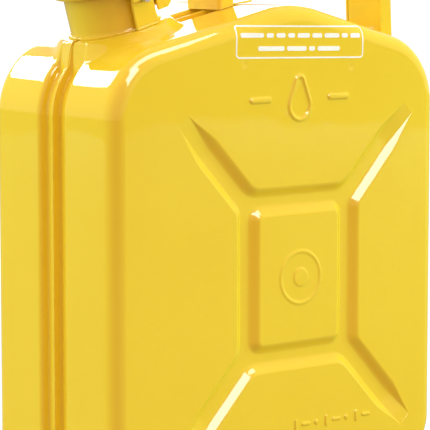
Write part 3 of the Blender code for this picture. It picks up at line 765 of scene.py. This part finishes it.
def effect(name, inputs, outputs):
    """An empty node group; inputs are (name, kind, value) and outputs (name, kind)."""
    tree = bpy.data.node_groups.new(name, "ShaderNodeTree")
    for label, kind, value in inputs:
        socket = tree.interface.new_socket(name=label, in_out="INPUT", socket_type=kind)
        socket.default_value = value
    for label, kind in outputs:
        tree.interface.new_socket(name=label, in_out="OUTPUT", socket_type=kind)
    start = tree.nodes.new("NodeGroupInput")
    end = tree.nodes.new("NodeGroupOutput")
    return tree, start, end


def node(tree, kind, links=None, **settings):
    """A node with its settings, its unlinked values and its incoming links."""
    made = tree.nodes.new(kind)
    for key, value in settings.items():
        setattr(made, key, value)
    for socket, source in (links or {}).items():
        if hasattr(source, "is_output"):
            tree.links.new(source, made.inputs[socket])
        else:
            made.inputs[socket].default_value = source
    return made


def ramp(tree, source, low, high, low_value=0.0, high_value=1.0):
    """A value that rises or falls in step with a source between low and high."""
    made = node(tree, "ShaderNodeMapRange", {"Value": source, "From Min": low, "From Max": high,
                                             "To Min": low_value, "To Max": high_value})
    return made.outputs["Result"]


def blend(tree, factor, a, b):
    """Mixes two colours, each a socket or a value."""
    mix = node(tree, "ShaderNodeMix", data_type="RGBA")
    for index, source in ((0, factor), (6, a), (7, b)):
        if hasattr(source, "is_output"):
            tree.links.new(source, mix.inputs[index])
        else:
            mix.inputs[index].default_value = source
    return mix.outputs[2]


def times(tree, a, b):
    """The product of two values, each a socket or a number."""
    return node(tree, "ShaderNodeMath", {0: a, 1: b}, operation="MULTIPLY").outputs[0]


def own_place(tree):
    """The place on a piece in its own axes, which moves with it."""
    return node(tree, "ShaderNodeTexCoord").outputs["Object"]


def noise(tree, place, scale, detail, **more):
    """A cloudy value between 0 and 1."""
    values = {"Vector": place, "Scale": scale, "Detail": detail, **more}
    return node(tree, "ShaderNodeTexNoise", values).outputs["Fac"]


FLOAT, COLOUR, VECTOR = "NodeSocketFloat", "NodeSocketColor", "NodeSocketVector"


def make_enamel_skin():
    """The faint waviness and orange peel of sprayed enamel, as a normal."""
    tree, start, end = effect("enamel_skin", [("Peel", FLOAT, 0.05), ("Wave", FLOAT, 0.2)],
                              [("Normal", VECTOR)])
    place = own_place(tree)
    peel = noise(tree, place, 520.0, 2.0)
    wave = noise(tree, place, 26.0, 1.0)
    slow = node(tree, "ShaderNodeBump", {"Height": wave, "Distance": 0.0006,
                                         "Strength": start.outputs["Wave"]})
    fine = node(tree, "ShaderNodeBump", {"Height": peel, "Distance": 0.0001,
                                         "Strength": start.outputs["Peel"],
                                         "Normal": slow.outputs["Normal"]})
    tree.links.new(fine.outputs["Normal"], end.inputs["Normal"])
    return tree


def make_tone():
    """A slow drift between two close tones of one colour."""
    tree, start, end = effect("tone_drift", [("Light", COLOUR, (0.8, 0.8, 0.8, 1.0)),
                                             ("Deep", COLOUR, (0.7, 0.7, 0.7, 1.0)),
                                             ("Scale", FLOAT, 18.0)], [("Colour", COLOUR)])
    place = own_place(tree)
    cloud = noise(tree, place, start.outputs["Scale"], 4.0, Roughness=0.55)
    colour = blend(tree, ramp(tree, cloud, 0.3, 0.7), start.outputs["Light"],
                   start.outputs["Deep"])
    tree.links.new(colour, end.inputs["Colour"])
    return tree


def make_settled_dust():
    """A thin patchy film of dust on what faces up, as a mask."""
    tree, start, end = effect("settled_dust", [("Amount", FLOAT, 0.3), ("Scale", FLOAT, 60.0)],
                              [("Mask", FLOAT)])
    facing = node(tree, "ShaderNodeNewGeometry").outputs["Normal"]
    up = node(tree, "ShaderNodeSeparateXYZ", {"Vector": facing}).outputs["Z"]
    place = own_place(tree)
    patch = noise(tree, place, start.outputs["Scale"], 6.0)
    cover = times(tree, ramp(tree, up, 0.35, 1.0), ramp(tree, patch, 0.4, 0.75))
    tree.links.new(times(tree, cover, start.outputs["Amount"]), end.inputs["Mask"])
    return tree


def make_rubbed_edges():
    """The places where a surface turns sharply outward and is rubbed first, as a mask."""
    tree, start, end = effect("rubbed_edges", [("Amount", FLOAT, 0.5), ("Scale", FLOAT, 90.0)],
                              [("Mask", FLOAT)])
    sharp = ramp(tree, node(tree, "ShaderNodeNewGeometry").outputs["Pointiness"], 0.56, 0.68)
    place = own_place(tree)
    patch = noise(tree, place, start.outputs["Scale"], 5.0)
    worn = times(tree, sharp, ramp(tree, patch, 0.48, 0.66))
    tree.links.new(times(tree, worn, start.outputs["Amount"]), end.inputs["Mask"])
    return tree


def make_grain():
    """Fine drawn lines along x with a cloudy plate finish, as roughness and a normal."""
    tree, start, end = effect("drawn_grain", [("Smooth", FLOAT, 0.25), ("Rough", FLOAT, 0.45),
                                              ("Depth", FLOAT, 0.2), ("Scale", FLOAT, 500.0)],
                              [("Roughness", FLOAT), ("Normal", VECTOR)])
    place = own_place(tree)
    drawn = node(tree, "ShaderNodeMapping", {"Vector": place, "Scale": (0.15, 1.0, 1.0)})
    lines = noise(tree, drawn.outputs["Vector"], start.outputs["Scale"], 4.0)
    cloud = noise(tree, place, 70.0, 3.0)
    rough = ramp(tree, times(tree, lines, cloud), 0.12, 0.4, start.outputs["Smooth"],
                 start.outputs["Rough"])
    bump = node(tree, "ShaderNodeBump", {"Height": lines, "Distance": 0.0001,
                                         "Strength": start.outputs["Depth"]})
    tree.links.new(rough, end.inputs["Roughness"])
    tree.links.new(bump.outputs["Normal"], end.inputs["Normal"])
    return tree


ENAMEL_SKIN = make_enamel_skin()
TONE_DRIFT = make_tone()
SETTLED_DUST = make_settled_dust()
RUBBED_EDGES = make_rubbed_edges()
DRAWN_GRAIN = make_grain()


def finish_of(name, roughness, metallic=0.0, coat=0.0, specular=0.5):
    """A new finish: its material, node tree and shader."""
    made = bpy.data.materials.new(name)
    made.use_nodes = True
    tree = made.node_tree
    shader = tree.nodes["Principled BSDF"]
    shader.inputs["Roughness"].default_value = roughness
    shader.inputs["Metallic"].default_value = metallic
    shader.inputs["Coat Weight"].default_value = coat
    shader.inputs["Coat Roughness"].default_value = 0.02
    shader.inputs["Specular IOR Level"].default_value = specular
    return made, tree, shader


def use(tree, group, **values):
    """Places an effect in a finish with its own values."""
    made = tree.nodes.new("ShaderNodeGroup")
    made.node_tree = group
    for socket, value in values.items():
        made.inputs[socket].default_value = value
    return made.outputs


WORN_ENAMEL = (0.30, 0.20, 0.03, 1.0)
ROAD_DUST = (0.70, 0.64, 0.50, 1.0)


def enamel(name, light, deep, peel, wave, dust, wear):
    """Sprayed and baked enamel over pressed steel."""
    made, tree, shader = finish_of(name, 0.16, coat=1.0, specular=0.0)
    tone = use(tree, TONE_DRIFT, Light=light, Deep=deep, Scale=14.0)["Colour"]
    rubbed = use(tree, RUBBED_EDGES, Amount=wear, Scale=110.0)["Mask"]
    dusty = use(tree, SETTLED_DUST, Amount=dust, Scale=70.0)["Mask"]
    colour = blend(tree, rubbed, tone, WORN_ENAMEL)
    colour = blend(tree, dusty, colour, ROAD_DUST)
    tree.links.new(colour, shader.inputs["Base Color"])
    tree.links.new(ramp(tree, dusty, 0.0, 1.0, 0.14, 0.6), shader.inputs["Roughness"])
    normal = use(tree, ENAMEL_SKIN, Peel=peel, Wave=wave)["Normal"]
    tree.links.new(normal, shader.inputs["Normal"])
    tree.links.new(normal, shader.inputs["Coat Normal"])
    return made


def plated(name, light, deep, smooth, rough, depth):
    """Zinc-plated steel with faint drawing lines."""
    made, tree, shader = finish_of(name, 0.3, metallic=1.0)
    tone = use(tree, TONE_DRIFT, Light=light, Deep=deep, Scale=60.0)["Colour"]
    tree.links.new(tone, shader.inputs["Base Color"])
    grain = use(tree, DRAWN_GRAIN, Smooth=smooth, Rough=rough, Depth=depth, Scale=600.0)
    tree.links.new(grain["Roughness"], shader.inputs["Roughness"])
    tree.links.new(grain["Normal"], shader.inputs["Normal"])
    return made


def moulded_rubber():
    """Black seal rubber with a matt moulded skin."""
    made, tree, shader = finish_of("black_rubber", 0.6)
    tone = use(tree, TONE_DRIFT, Light=(0.03, 0.03, 0.03, 1.0), Deep=(0.015, 0.015, 0.016, 1.0),
               Scale=120.0)["Colour"]
    dusty = use(tree, SETTLED_DUST, Amount=0.3, Scale=200.0)["Mask"]
    tree.links.new(blend(tree, dusty, tone, (0.2, 0.19, 0.17, 1.0)), shader.inputs["Base Color"])
    grain = use(tree, DRAWN_GRAIN, Smooth=0.5, Rough=0.75, Depth=0.3, Scale=900.0)
    tree.links.new(grain["Roughness"], shader.inputs["Roughness"])
    tree.links.new(grain["Normal"], shader.inputs["Normal"])
    return made


def printed_ink():
    """White screen-printed ink, slightly thin in places."""
    made, tree, shader = finish_of("white_ink", 0.3, coat=0.4)
    tone = use(tree, TONE_DRIFT, Light=(0.98, 0.97, 0.93, 1.0), Deep=(0.94, 0.92, 0.84, 1.0),
               Scale=300.0)["Colour"]
    tree.links.new(tone, shader.inputs["Base Color"])
    tree.links.new(use(tree, ENAMEL_SKIN, Peel=0.1, Wave=0.0)["Normal"],
                   shader.inputs["Normal"])
    return made


YELLOW = enamel("yellow_enamel", (0.90, 0.64, 0.034, 1.0), (0.88, 0.615, 0.030, 1.0),
                0.05, 0.25, 0.03, 0.15)
YELLOW_FITTINGS = enamel("yellow_enamel_fittings", (0.89, 0.63, 0.034, 1.0),
                         (0.87, 0.60, 0.030, 1.0), 0.10, 0.12, 0.04, 0.45)
ZINC = plated("zinc_plate", (0.66, 0.66, 0.64, 1.0), (0.52, 0.52, 0.51, 1.0), 0.22, 0.42, 0.25)
RUBBER = moulded_rubber()
INK = printed_ink()


# ---- The body ----

pressed_half("near_half", -1, YELLOW, ("near_shell",))
pressed_half("far_half", 1, YELLOW, ("far_shell",))
piece("seam_weld", seam_bead(), YELLOW, "can")


# ---- The filler neck and what is welded to it ----

def neck_mesh():
    """A drawn spout: a flared foot, a straight wall and a rolled lip."""
    inner = NECK_RADIUS - NECK_WALL
    low, flare, flare_height = 0.2, 1.6, 2.6
    roll, mouth_round = 1.6, 0.8
    profile = [(inner, low), (NECK_RADIUS + flare, low)]
    for a in (math.radians(15.0 * k) for k in range(1, 7)):
        profile.append((NECK_RADIUS + flare - flare * math.sin(a),
                        low + flare_height * (1.0 - math.cos(a))))
    profile.append((NECK_RADIUS, NECK_HEIGHT - 4.4))
    profile += arc((LIP_RADIUS - roll, NECK_HEIGHT - roll), roll, -70.0, 90.0, 10)
    profile += arc((inner + mouth_round, NECK_HEIGHT - mouth_round), mouth_round, 90.0, 180.0, 4)
    return turned("filler_spout", profile, 96)


piece("filler_spout", neck_mesh(), YELLOW_FITTINGS, "can", ("filler_neck",))

neck_root = [from_neck(u, v, 0.5) for u, v in circle((0.0, 0.0), NECK_RADIUS + 1.0, 120)]
piece("spout_weld", ring_of("spout_weld", neck_root, 0.85, wobble=0.18), YELLOW_FITTINGS, "can")


def breather_mesh():
    """An open tube that runs down the neck and turns back under the can's top."""
    outer, inner, segments = 3.2, 2.3, 24
    bend_u = 15.5
    start, corner = from_neck(bend_u, 0.0, 22.0), from_neck(bend_u, 0.0, -16.0)
    line = bent_line([(start[0], start[2], 0.0), (corner[0], corner[2], 12.0),
                      (corner[0] + 46.0, corner[2] + 7.5, 0.0)], 12)
    vertices, faces = [], []
    ring = 2 * segments
    for i, here in enumerate(line):
        tangent = tangent_at(line, i)
        normal = Vector((-tangent.y, tangent.x))
        for radius in (outer, inner):
            for k in range(segments):
                a = 2.0 * math.pi * k / segments
                at = here + normal * (radius * math.cos(a))
                vertices.append((at.x, radius * math.sin(a), at.y))
    last = (len(line) - 1) * ring
    for k in range(segments):
        j = (k + 1) % segments
        for i in range(len(line) - 1):
            a, b = i * ring, (i + 1) * ring
            faces.append((a + k, a + j, b + j, b + k))
            faces.append((a + segments + k, b + segments + k, b + segments + j,
                          a + segments + j))
        faces.append((k, segments + k, segments + j, j))
        faces.append((last + k, last + j, last + segments + j, last + segments + k))
    return mesh_of("vent_tube", vertices, faces)


piece("vent_tube", breather_mesh(), ZINC, "can", ("breather_tube",), edge=0.15)

catch_outline = fillet([(-5.5, 0.6, 0.0), (9.0, 0.6, 0.0), (9.0, 20.0, 3.0), (-5.5, 20.0, 5.0)],
                       10)
for label, side in (("near", -1), ("far", 1)):
    sheet = sorted(side * v for v in CATCH_EAR)
    piece("catch_ear_" + label, plate("catch_ear_" + label, catch_outline, *sheet),
          YELLOW_FITTINGS, "can", ("catch_bracket_" + label,), edge=0.35)
    ends = sorted((side * (NECK_RADIUS + 0.4), side * (ARM_INNER + ARM_SHEET + 0.8)))
    piece("catch_stud_" + label, bar("catch_stud", CATCH, *ends, 2.6), ZINC, "can",
          ("catch_pin_" + label,))
    middle = side * sum(CATCH_EAR) / 2.0
    root = [from_neck(-5.0 + 13.5 * k / 14, middle, 0.7) for k in range(15)]
    bead = [Vector(p) + Vector((0.0, side * 0.7, 0.0)) for p in root]
    bead += [Vector(p) + Vector((0.0, -side * 0.7, 0.0)) for p in reversed(root)]
    piece("catch_weld_" + label, ring_of("catch_weld", bead, 0.75, wobble=0.2), YELLOW_FITTINGS,
          "can")

ear_outline = fillet([(18.8, 4.0, 0.0), (26.0, 4.0, 3.0), (43.0, 22.0, 4.0), (43.0, 33.0, 5.0),
                      (31.0, 33.0, 5.0), (27.0, 20.8, 2.0), (18.8, 20.8, 0.0)], 8)
ear_outer = EAR_INNER + EAR_SHEET
bridge_outline = [(24.6, 5.0), (26.2, 5.0), (26.2, 19.0), (24.6, 19.0)]
bracket = merged("hinge_ears", [
    plate("near_ear", ear_outline, -ear_outer, -EAR_INNER),
    plate("far_ear", ear_outline, EAR_INNER, ear_outer),
    plate("bridge", bridge_outline, -ear_outer + 0.3, ear_outer - 0.3)])
piece("hinge_ears", bracket, YELLOW_FITTINGS, "can", ("hinge_bracket",), edge=0.35)
piece("hinge_rivet", bar("hinge_rivet", HINGE, -ear_outer - 0.5, ear_outer + 0.5, 2.0,
                         head=(3.4, 1.2)), ZINC, "can", ("hinge_pin",))


# ---- The lid ----

def lid_mesh():
    """A deep-drawn cap with a rolled skirt and a shallow stiffening ring pressed in its top."""
    hole = 2.3
    inner = LID_RADIUS - LID_WALL
    profile = [(hole, LID_UNDERSIDE), (inner - 1.0, LID_UNDERSIDE)]
    profile += [(inner, LID_UNDERSIDE - 1.0), (inner, LID_SKIRT_END + 0.7)]
    profile += arc((inner + LID_WALL / 2.0, LID_SKIRT_END + 0.75), LID_WALL / 2.0, 180.0, 360.0,
                   8)
    profile += arc((LID_RADIUS - 2.6, LID_TOP - 2.6), 2.6, 0.0, 90.0, 10)
    groove = [(22.0 - 5.0 * t, LID_TOP - 0.45 * (1.0 - math.cos(2.0 * math.pi * t)))
              for t in (k / 16 for k in range(17))]
    profile += groove + [(7.0, LID_TOP), (5.6, LID_TOP - 0.15), (hole, LID_TOP - 0.15)]
    return turned("cap", profile, 96)


def lock_bore():
    """The cutter for the lock pin's hole through the lug and the near arm."""
    return bar("lock_bore", LOCK_HOLE, -36.0, -25.0, LOCK_BORE_RADIUS)


tail = fillet([(27.5, 25.2, 0.0), (34.6, 24.4, 0.0), (36.6, 23.2, 0.8), (36.6, 30.8, 0.8),
               (34.0, 30.4, 0.8), (27.5, 30.0, 0.0)], 4)
barrel = circle(HINGE, 4.2, 40)
lug = fillet([(-15.6, 26.6, 1.2), (-8.4, 26.6, 1.2), (-8.4, 33.2, 1.2), (-15.6, 33.2, 1.2)], 5)
piece("cap", lid_mesh(), YELLOW_FITTINGS, "lid", ("lid",))
piece("cap_hinge_leaf", merged("cap_hinge_leaf", [
    plate("leaf", tail, -14.6, 14.6), plate("barrel", barrel, -15.0, 15.0)]),
    YELLOW_FITTINGS, "lid", edge=0.3)
drilled = cut_mesh(plate("cap_lock_lug", lug, -ARM_INNER + 0.5, -26.5), lock_bore())
piece("cap_lock_lug", drilled, YELLOW_FITTINGS, "lid", edge=0.3)

seal = fillet([(15.0, 27.3, 0.6), (26.6, 27.3, 0.9), (26.6, 30.8, 0.9), (15.0, 30.8, 0.6)], 5)
piece("cap_seal", turned("cap_seal", seal, 80), RUBBER, "lid", ("lid_gasket",))
dish = [(2.3, 28.6), (12.0, 28.6), (13.0, 28.1), (14.2, 26.9), (20.3, 26.9), (20.6, 26.3),
        (20.3, 25.7), (13.6, 25.7), (12.4, 26.6), (11.4, 27.2), (2.3, 27.2)]
piece("seal_plate", turned("seal_plate", dish, 64), ZINC, "lid", ("gasket_retainer",),
      edge=0.15)
rivet = [(0.02, 25.0), (2.2, 25.05), (3.6, 25.4), (4.4, 26.2), (4.4, 26.9), (2.0, 26.9),
         (2.0, 33.8), (4.6, 33.8), (4.5, 34.4), (3.8, 35.1), (2.4, 35.5), (0.02, 35.6)]
piece("seal_rivet", turned("seal_rivet", rivet, 36, closed=False), ZINC, "lid",
      ("retainer_rivet",))
for label, side in (("near", -1), ("far", 1)):
    ends = sorted((side * (LID_RADIUS + 0.3), side * (ARM_INNER + ARM_SHEET + 0.4)))
    piece("lever_stud_" + label, bar("lever_stud", LEVER_PIVOT, *ends, 2.4), ZINC, "lid",
          ("lever_pivot_" + label,))


# ---- The lever and its lock pin ----

def lever_arm():
    """A side arm: the lobe round the pivot, the claw before the catch and the bar in front."""
    lobe = [(LEVER_PIVOT[0] + 6.4 * math.cos(a), LEVER_PIVOT[1] + 6.4 * math.sin(a))
            for a in (math.radians(-118.0 + 11.0 * k) for k in range(17))]
    front = fillet([(-11.0, 35.6, 8.0), (-36.6, 35.6, 3.0), (-36.6, 28.4, 1.2),
                    (-33.0, 27.4, 4.0), (-14.0, 23.5, 6.0), (-7.6, 20.5, 2.0), (-7.6, 16.2, 1.4),
                    (-1.2, 16.2, 1.4), (-1.8, 19.0, 0.0)], 6)
    return lobe + front


arm_outer = ARM_INNER + ARM_SHEET
front_line = bent_line([(-13.0, 34.8, 0.0), (-35.8, 34.8, 3.0), (-35.8, 29.2, 0.0)], 10)
lever = merged("cam_lever", [
    cut_mesh(plate("near_arm", lever_arm(), -arm_outer, -ARM_INNER), lock_bore()),
    plate("far_arm", lever_arm(), ARM_INNER, arm_outer),
    plate("lever_front", thickened(front_line, 1.5), -arm_outer + 0.2, arm_outer - 0.2)])
piece("cam_lever", lever, YELLOW_FITTINGS, "lever", ("closure_lever",), edge=0.4)

u_lock, w_lock = LOCK_HOLE
stem = bar("lock_stem", LOCK_HOLE, LOCK_EYE_V + LOCK_EYE_RADIUS - 0.2, LOCK_STEM_TIP,
           LOCK_STEM_RADIUS)
eye_path = [from_neck(u_lock, v, w) for v, w in circle((LOCK_EYE_V, w_lock), LOCK_EYE_RADIUS, 32)]
hang = (u_lock - LOCK_RING_RADIUS * math.sin(NECK_LEAN),
        w_lock - LOCK_RING_RADIUS * math.cos(NECK_LEAN))
ring_path = [from_neck(u, LOCK_EYE_V, w) for u, w in circle(hang, LOCK_RING_RADIUS, 64)]
eye = ring_of("lock_eye", eye_path, LOCK_WIRE_RADIUS, 12)
piece("lock_stem", merged("lock_stem", [stem, eye]), ZINC, "lock", ("lock_pin",))
piece("pull_ring", ring_of("pull_ring", ring_path, LOCK_WIRE_RADIUS, 14), ZINC, "lock",
      ("lock_ring",))


# ---- The handle ----

def channel_section():
    """A U of sheet with rounded outer corners, open toward the hand."""
    corner = 2.2
    bend_centre = (HANDLE_HALF - corner, corner - HANDLE_SHEET / 2.0)
    outer = [(HANDLE_HALF, HANDLE_FLANGE)] + arc(bend_centre, corner, 0.0, -90.0, 6)
    inner = arc(bend_centre, corner - HANDLE_SHEET, -90.0, 0.0, 4)
    inner.append((HANDLE_HALF - HANDLE_SHEET, HANDLE_FLANGE))
    other_outer = [(-x, y) for x, y in reversed(outer)]
    other_inner = [(-x, y) for x, y in reversed(inner)]
    return outer + other_outer + other_inner + inner


def handle_line():
    """The middle of the handle's sheet, from its front foot over the top to the rear wall."""
    low_x = BODY_LENGTH / 2.0 + HANDLE_CLEARANCE + HANDLE_SHEET / 2.0
    points = [(HANDLE_FRONT_X, 235.0, 0.0), (HANDLE_FRONT_X + 1.0, HANDLE_TOP, 20.0),
              (HANDLE_REAR_X - 1.0, HANDLE_TOP, 24.0), (HANDLE_BULGE_X, 236.0, 40.0),
              (low_x, 212.0, 30.0), (low_x, 190.0, 0.0)]
    return bent_line(points, 16)


def body_clearance():
    """The cutter that keeps the handle's sheet a hair off the body."""
    around = [tuple(point + normal * HANDLE_CLEARANCE) for point, normal in OUTLINE]
    return extruded("body_clearance", around, -25.0, 25.0)


line = handle_line()
channel = cut_mesh(swept("handle", line, channel_section()), body_clearance())
piece("handle", channel, YELLOW_FITTINGS, "can", ("handle_channel",), edge=0.3)

inner_half = HANDLE_HALF - HANDLE_SHEET - 0.3
strip_section = [(-inner_half, HANDLE_FLANGE - 1.5), (inner_half, HANDLE_FLANGE - 1.5),
                 (inner_half, HANDLE_FLANGE - 0.2), (-inner_half, HANDLE_FLANGE - 0.2)]
covered = [p for p in line if p.y > (GRIP_LOW_FRONT if p.x < 0.0 else GRIP_LOW_REAR)]
grip = cut_mesh(swept("grip_underside", covered, strip_section), body_clearance())
piece("grip_underside", grip, YELLOW_FITTINGS, "can", ("handle_grip_strip",), edge=0.3)

# The foot plate stands inside the front leg and lies along the slope of the top
foot_sheet, foot_half = 1.2, 11.5
riser_x = HANDLE_FRONT_X + HANDLE_SHEET / 2.0 + 1.3
slope = (RIDGE_HEIGHT - SHOULDER_HEIGHT) / (RIDGE_X + BODY_LENGTH / 2.0)
foot_top = RIDGE_HEIGHT - slope * (RIDGE_X - riser_x) + HANDLE_CLEARANCE + 0.8
foot_line = bent_line([(riser_x, foot_top + 16.0, 0.0), (riser_x + 0.1, foot_top + 0.1, 2.5),
                       (riser_x + 24.0, foot_top + slope * 22.0 - 1.6, 0.0)], 8)
foot = extruded("handle_foot_plate", thickened(foot_line, foot_sheet), -foot_half, foot_half)
piece("handle_foot_plate", cut_mesh(foot, body_clearance()), YELLOW_FITTINGS, "can",
      ("handle_foot",), edge=0.25)


# ---- Printing on the near face ----

def near_face(x, z, lift):
    """A point on the near face or its rounded top edge, in the can's axes."""
    inset = BODY_LENGTH
    for run in (-BODY_LENGTH / 2.0 - RIDGE_X, BODY_LENGTH / 2.0 - RIDGE_X):
        along = Vector((run, SHOULDER_HEIGHT - RIDGE_HEIGHT)).normalized()
        offset = Vector((x - RIDGE_X, z - RIDGE_HEIGHT))
        inset = min(inset, abs(along.x * offset.y - along.y * offset.x))
    centre = BODY_DEPTH / 2.0 - FACE_RADIUS
    if inset >= FACE_RADIUS:
        return (x, -BODY_DEPTH / 2.0 - lift, z)
    fall = math.sqrt(max(0.0, FACE_RADIUS ** 2 - (FACE_RADIUS - inset) ** 2))
    return (x, -(centre + fall + lift), z + lift * 0.3)


def stripe(name, path, half_width, closed):
    """A thin raised stripe of ink along (x, z) points; half_width: one value for each point."""
    lift, sunk = 0.10, -0.12
    vertices, faces = [], []
    count = len(path)
    for i, (x, z) in enumerate(path):
        before = Vector(path[i - 1] if closed or i else path[i])
        after = Vector(path[(i + 1) % count] if closed or i < count - 1 else path[i])
        tangent = (after - before).normalized()
        across = Vector((-tangent.y, tangent.x)) * half_width[i]
        for s, level in ((1, lift), (1, sunk), (-1, sunk), (-1, lift)):
            vertices.append(near_face(x + across.x * s, z + across.y * s, level))
    for i in range(count if closed else count - 1):
        n = (i + 1) % count
        for k in range(4):
            j = (k + 1) % 4
            faces.append((i * 4 + k, i * 4 + j, n * 4 + j, n * 4 + k))
    return mesh_of(name, vertices, faces)


LABEL_CENTRE = (12.7, PATTERN_Z + 130.8)
LABEL_HALF = (46.3, 8.6)
LABEL_TILT = math.radians(-1.5)


def on_label(a, b):
    """A point of the label, along and up from its centre, on the face."""
    c, s = math.cos(LABEL_TILT), math.sin(LABEL_TILT)
    return (LABEL_CENTRE[0] + a * c - b * s, LABEL_CENTRE[1] + a * s + b * c)


def dense(loop, gap=1.5):
    """Adds points to a closed loop so that none are further apart than a gap."""
    result = []
    for i, here in enumerate(loop):
        here, there = Vector(here), Vector(loop[(i + 1) % len(loop)])
        steps = max(1, math.ceil((there - here).length / gap))
        result.extend(tuple(here.lerp(there, k / steps)) for k in range(steps))
    return result


frame_loop = dense(rounded_box(LABEL_HALF[0], LABEL_HALF[1], 2.0, 6))
frame_path = [on_label(a, b) for a, b in frame_loop]
piece("label_frame", stripe("label_frame", frame_path, [0.42] * len(frame_path), True), INK,
      "can")

# Each row: its height, half the bars' height, where it starts and the lengths of its bars
ROWS = (
    (3.6, 1.25, -43.6, (16.5, 5.2, 6.6, 5.0, 9.0, 7.2, 11.0, 4.6, 7.4)),
    (-3.6, 1.25, -31.0, (19.0, 14.2, 4.4, 16.6)),
)
bars = []
for height, half, start, lengths in ROWS:
    for length in lengths:
        steps = max(6, int(length / 0.7))
        path, widths = [], []
        for k in range(steps + 1):
            t = 0.5 - 0.5 * math.cos(math.pi * k / steps)
            end = min(t, 1.0 - t) * length
            path.append(on_label(start + length * t, height))
            widths.append(half * math.sqrt(max(0.02, 1.0 - max(0.0, 1.0 - end / 0.8) ** 2)))
        bars.append(stripe("bar", path, widths, False))
        start += length + 1.9
piece("label_bars", merged("label_bars", bars), INK, "can")


# ---- Studio ----

WARM = (1.0, 0.92, 0.86)
COOL = (0.52, 1.0, 0.92)
PLAIN = (1.0, 1.0, 1.0)

# Each soft lamp: name, direction from the can, distance, size, radiance, tint, turn in degrees.
# The first group shows only in the enamel's shine; the second only lights the walls.
SHINE = (
    ("overhead", (0.02, -0.44, 0.90), 1.6, (1.3, 0.62), 12.0, WARM, 0.0),
    ("front_left", (-0.19, -0.73, 0.65), 1.78, (0.85, 0.57), 16.0, WARM, -48.0),
    ("left_window", (-0.22, 0.77, 0.59), 1.8, (0.86, 0.52), 17.0, PLAIN, 0.0),
    ("rear_panel", (0.52, 0.77, 0.38), 2.2, (1.1, 0.7), 4.5, WARM, 0.0),
)
FILL = (
    ("front_right", (0.79, -0.58, 0.20), 2.4, (1.6, 1.4), 6.2, COOL, 0.0),
    ("rear_left", (-0.81, 0.56, 0.20), 2.4, (1.6, 1.4), 4.7, COOL, 0.0),
    ("top_fill", (-0.10, -0.05, 1.0), 2.0, (1.6, 1.6), 1.0, WARM, 0.0),
)
BACKDROP_GLOW = 1.1          # how bright the floor and the backdrop look to the camera
AMBIENT = 1.12               # how strongly the backdrop lights the can
AMBIENT_TINT = (1.0, 0.73, 0.68, 1.0)
WHITE = (1.0, 1.0, 1.0, 1.0)


def floor():
    """A sheet of pale paper that looks evenly white but lights the can like a grey one."""
    size, squares = 9.0, 24
    bm = bmesh.new()
    bmesh.ops.create_grid(bm, x_segments=squares, y_segments=squares, size=size)
    mesh = bpy.data.meshes.new("studio_floor")
    bm.to_mesh(mesh)
    bm.free()
    obj = bpy.data.objects.new("studio_floor", mesh)
    bpy.context.scene.collection.objects.link(obj)
    made, tree, shader = finish_of("studio_paper", 0.7)
    tone = use(tree, TONE_DRIFT, Light=(0.24, 0.23, 0.22, 1.0), Deep=(0.22, 0.21, 0.20, 1.0),
               Scale=2.0)["Colour"]
    tree.links.new(tone, shader.inputs["Base Color"])
    seen = node(tree, "ShaderNodeLightPath").outputs["Is Camera Ray"]
    glow = node(tree, "ShaderNodeEmission", {"Color": WHITE, "Strength": BACKDROP_GLOW})
    lit = node(tree, "ShaderNodeMixShader", {0: seen, 1: shader.outputs["BSDF"],
                                             2: glow.outputs["Emission"]})
    tree.links.new(lit.outputs["Shader"], tree.nodes["Material Output"].inputs["Surface"])
    mesh.materials.append(made)


def softbox(name, direction, distance, size, radiance, tint, turn):
    """A rectangular lamp that faces the can; radiance sets how bright its reflection is."""
    lamp = bpy.data.lights.new(name, "AREA")
    lamp.shape = "RECTANGLE"
    lamp.size, lamp.size_y = size
    lamp.energy = radiance * math.pi * size[0] * size[1]
    lamp.color = tint
    obj = bpy.data.objects.new(name, lamp)
    bpy.context.scene.collection.objects.link(obj)
    toward = Vector(direction).normalized()
    obj.location = Vector((0.0, 0.0, 0.16)) + toward * distance
    aim = toward.to_track_quat("Z", "Y")
    obj.rotation_mode = "QUATERNION"
    obj.rotation_quaternion = aim @ Matrix.Rotation(math.radians(turn), 4,
                                                        "Z").to_quaternion()
    return obj


def backdrop():
    """A white surround to the camera and a warm, soft ambient light on the can."""
    world = bpy.data.worlds.new("studio")
    world.use_nodes = True
    tree = world.node_tree
    background = tree.nodes["Background"]
    seen = node(tree, "ShaderNodeLightPath").outputs["Is Camera Ray"]
    tree.links.new(blend(tree, seen, AMBIENT_TINT, WHITE), background.inputs["Color"])
    tree.links.new(ramp(tree, seen, 0.0, 1.0, AMBIENT, BACKDROP_GLOW),
                   background.inputs["Strength"])
    return world


floor()
for lamp in SHINE:
    softbox(*lamp).visible_diffuse = False
for lamp in FILL:
    softbox(*lamp).visible_glossy = False

scene = bpy.context.scene
scene.world = backdrop()
scene.view_settings.view_transform = "Standard"

CAMERA_TURN = math.radians(39.48)
CAMERA_PITCH = math.radians(6.56)
CAMERA_PLACE = (-0.884, -1.069, 0.3064)      # metres, from the middle of the can's foot
lens = bpy.data.cameras.new("camera")
lens.lens = 205.3
lens.sensor_width = 36.0
lens.clip_start = 0.05
camera = bpy.data.objects.new("camera", lens)
scene.collection.objects.link(camera)
camera.location = (MIDDLE_X * MM + CAMERA_PLACE[0], *CAMERA_PLACE[1:])
camera.rotation_euler = (math.pi / 2.0 - CAMERA_PITCH, 0.0, -CAMERA_TURN)
scene.camera = camera
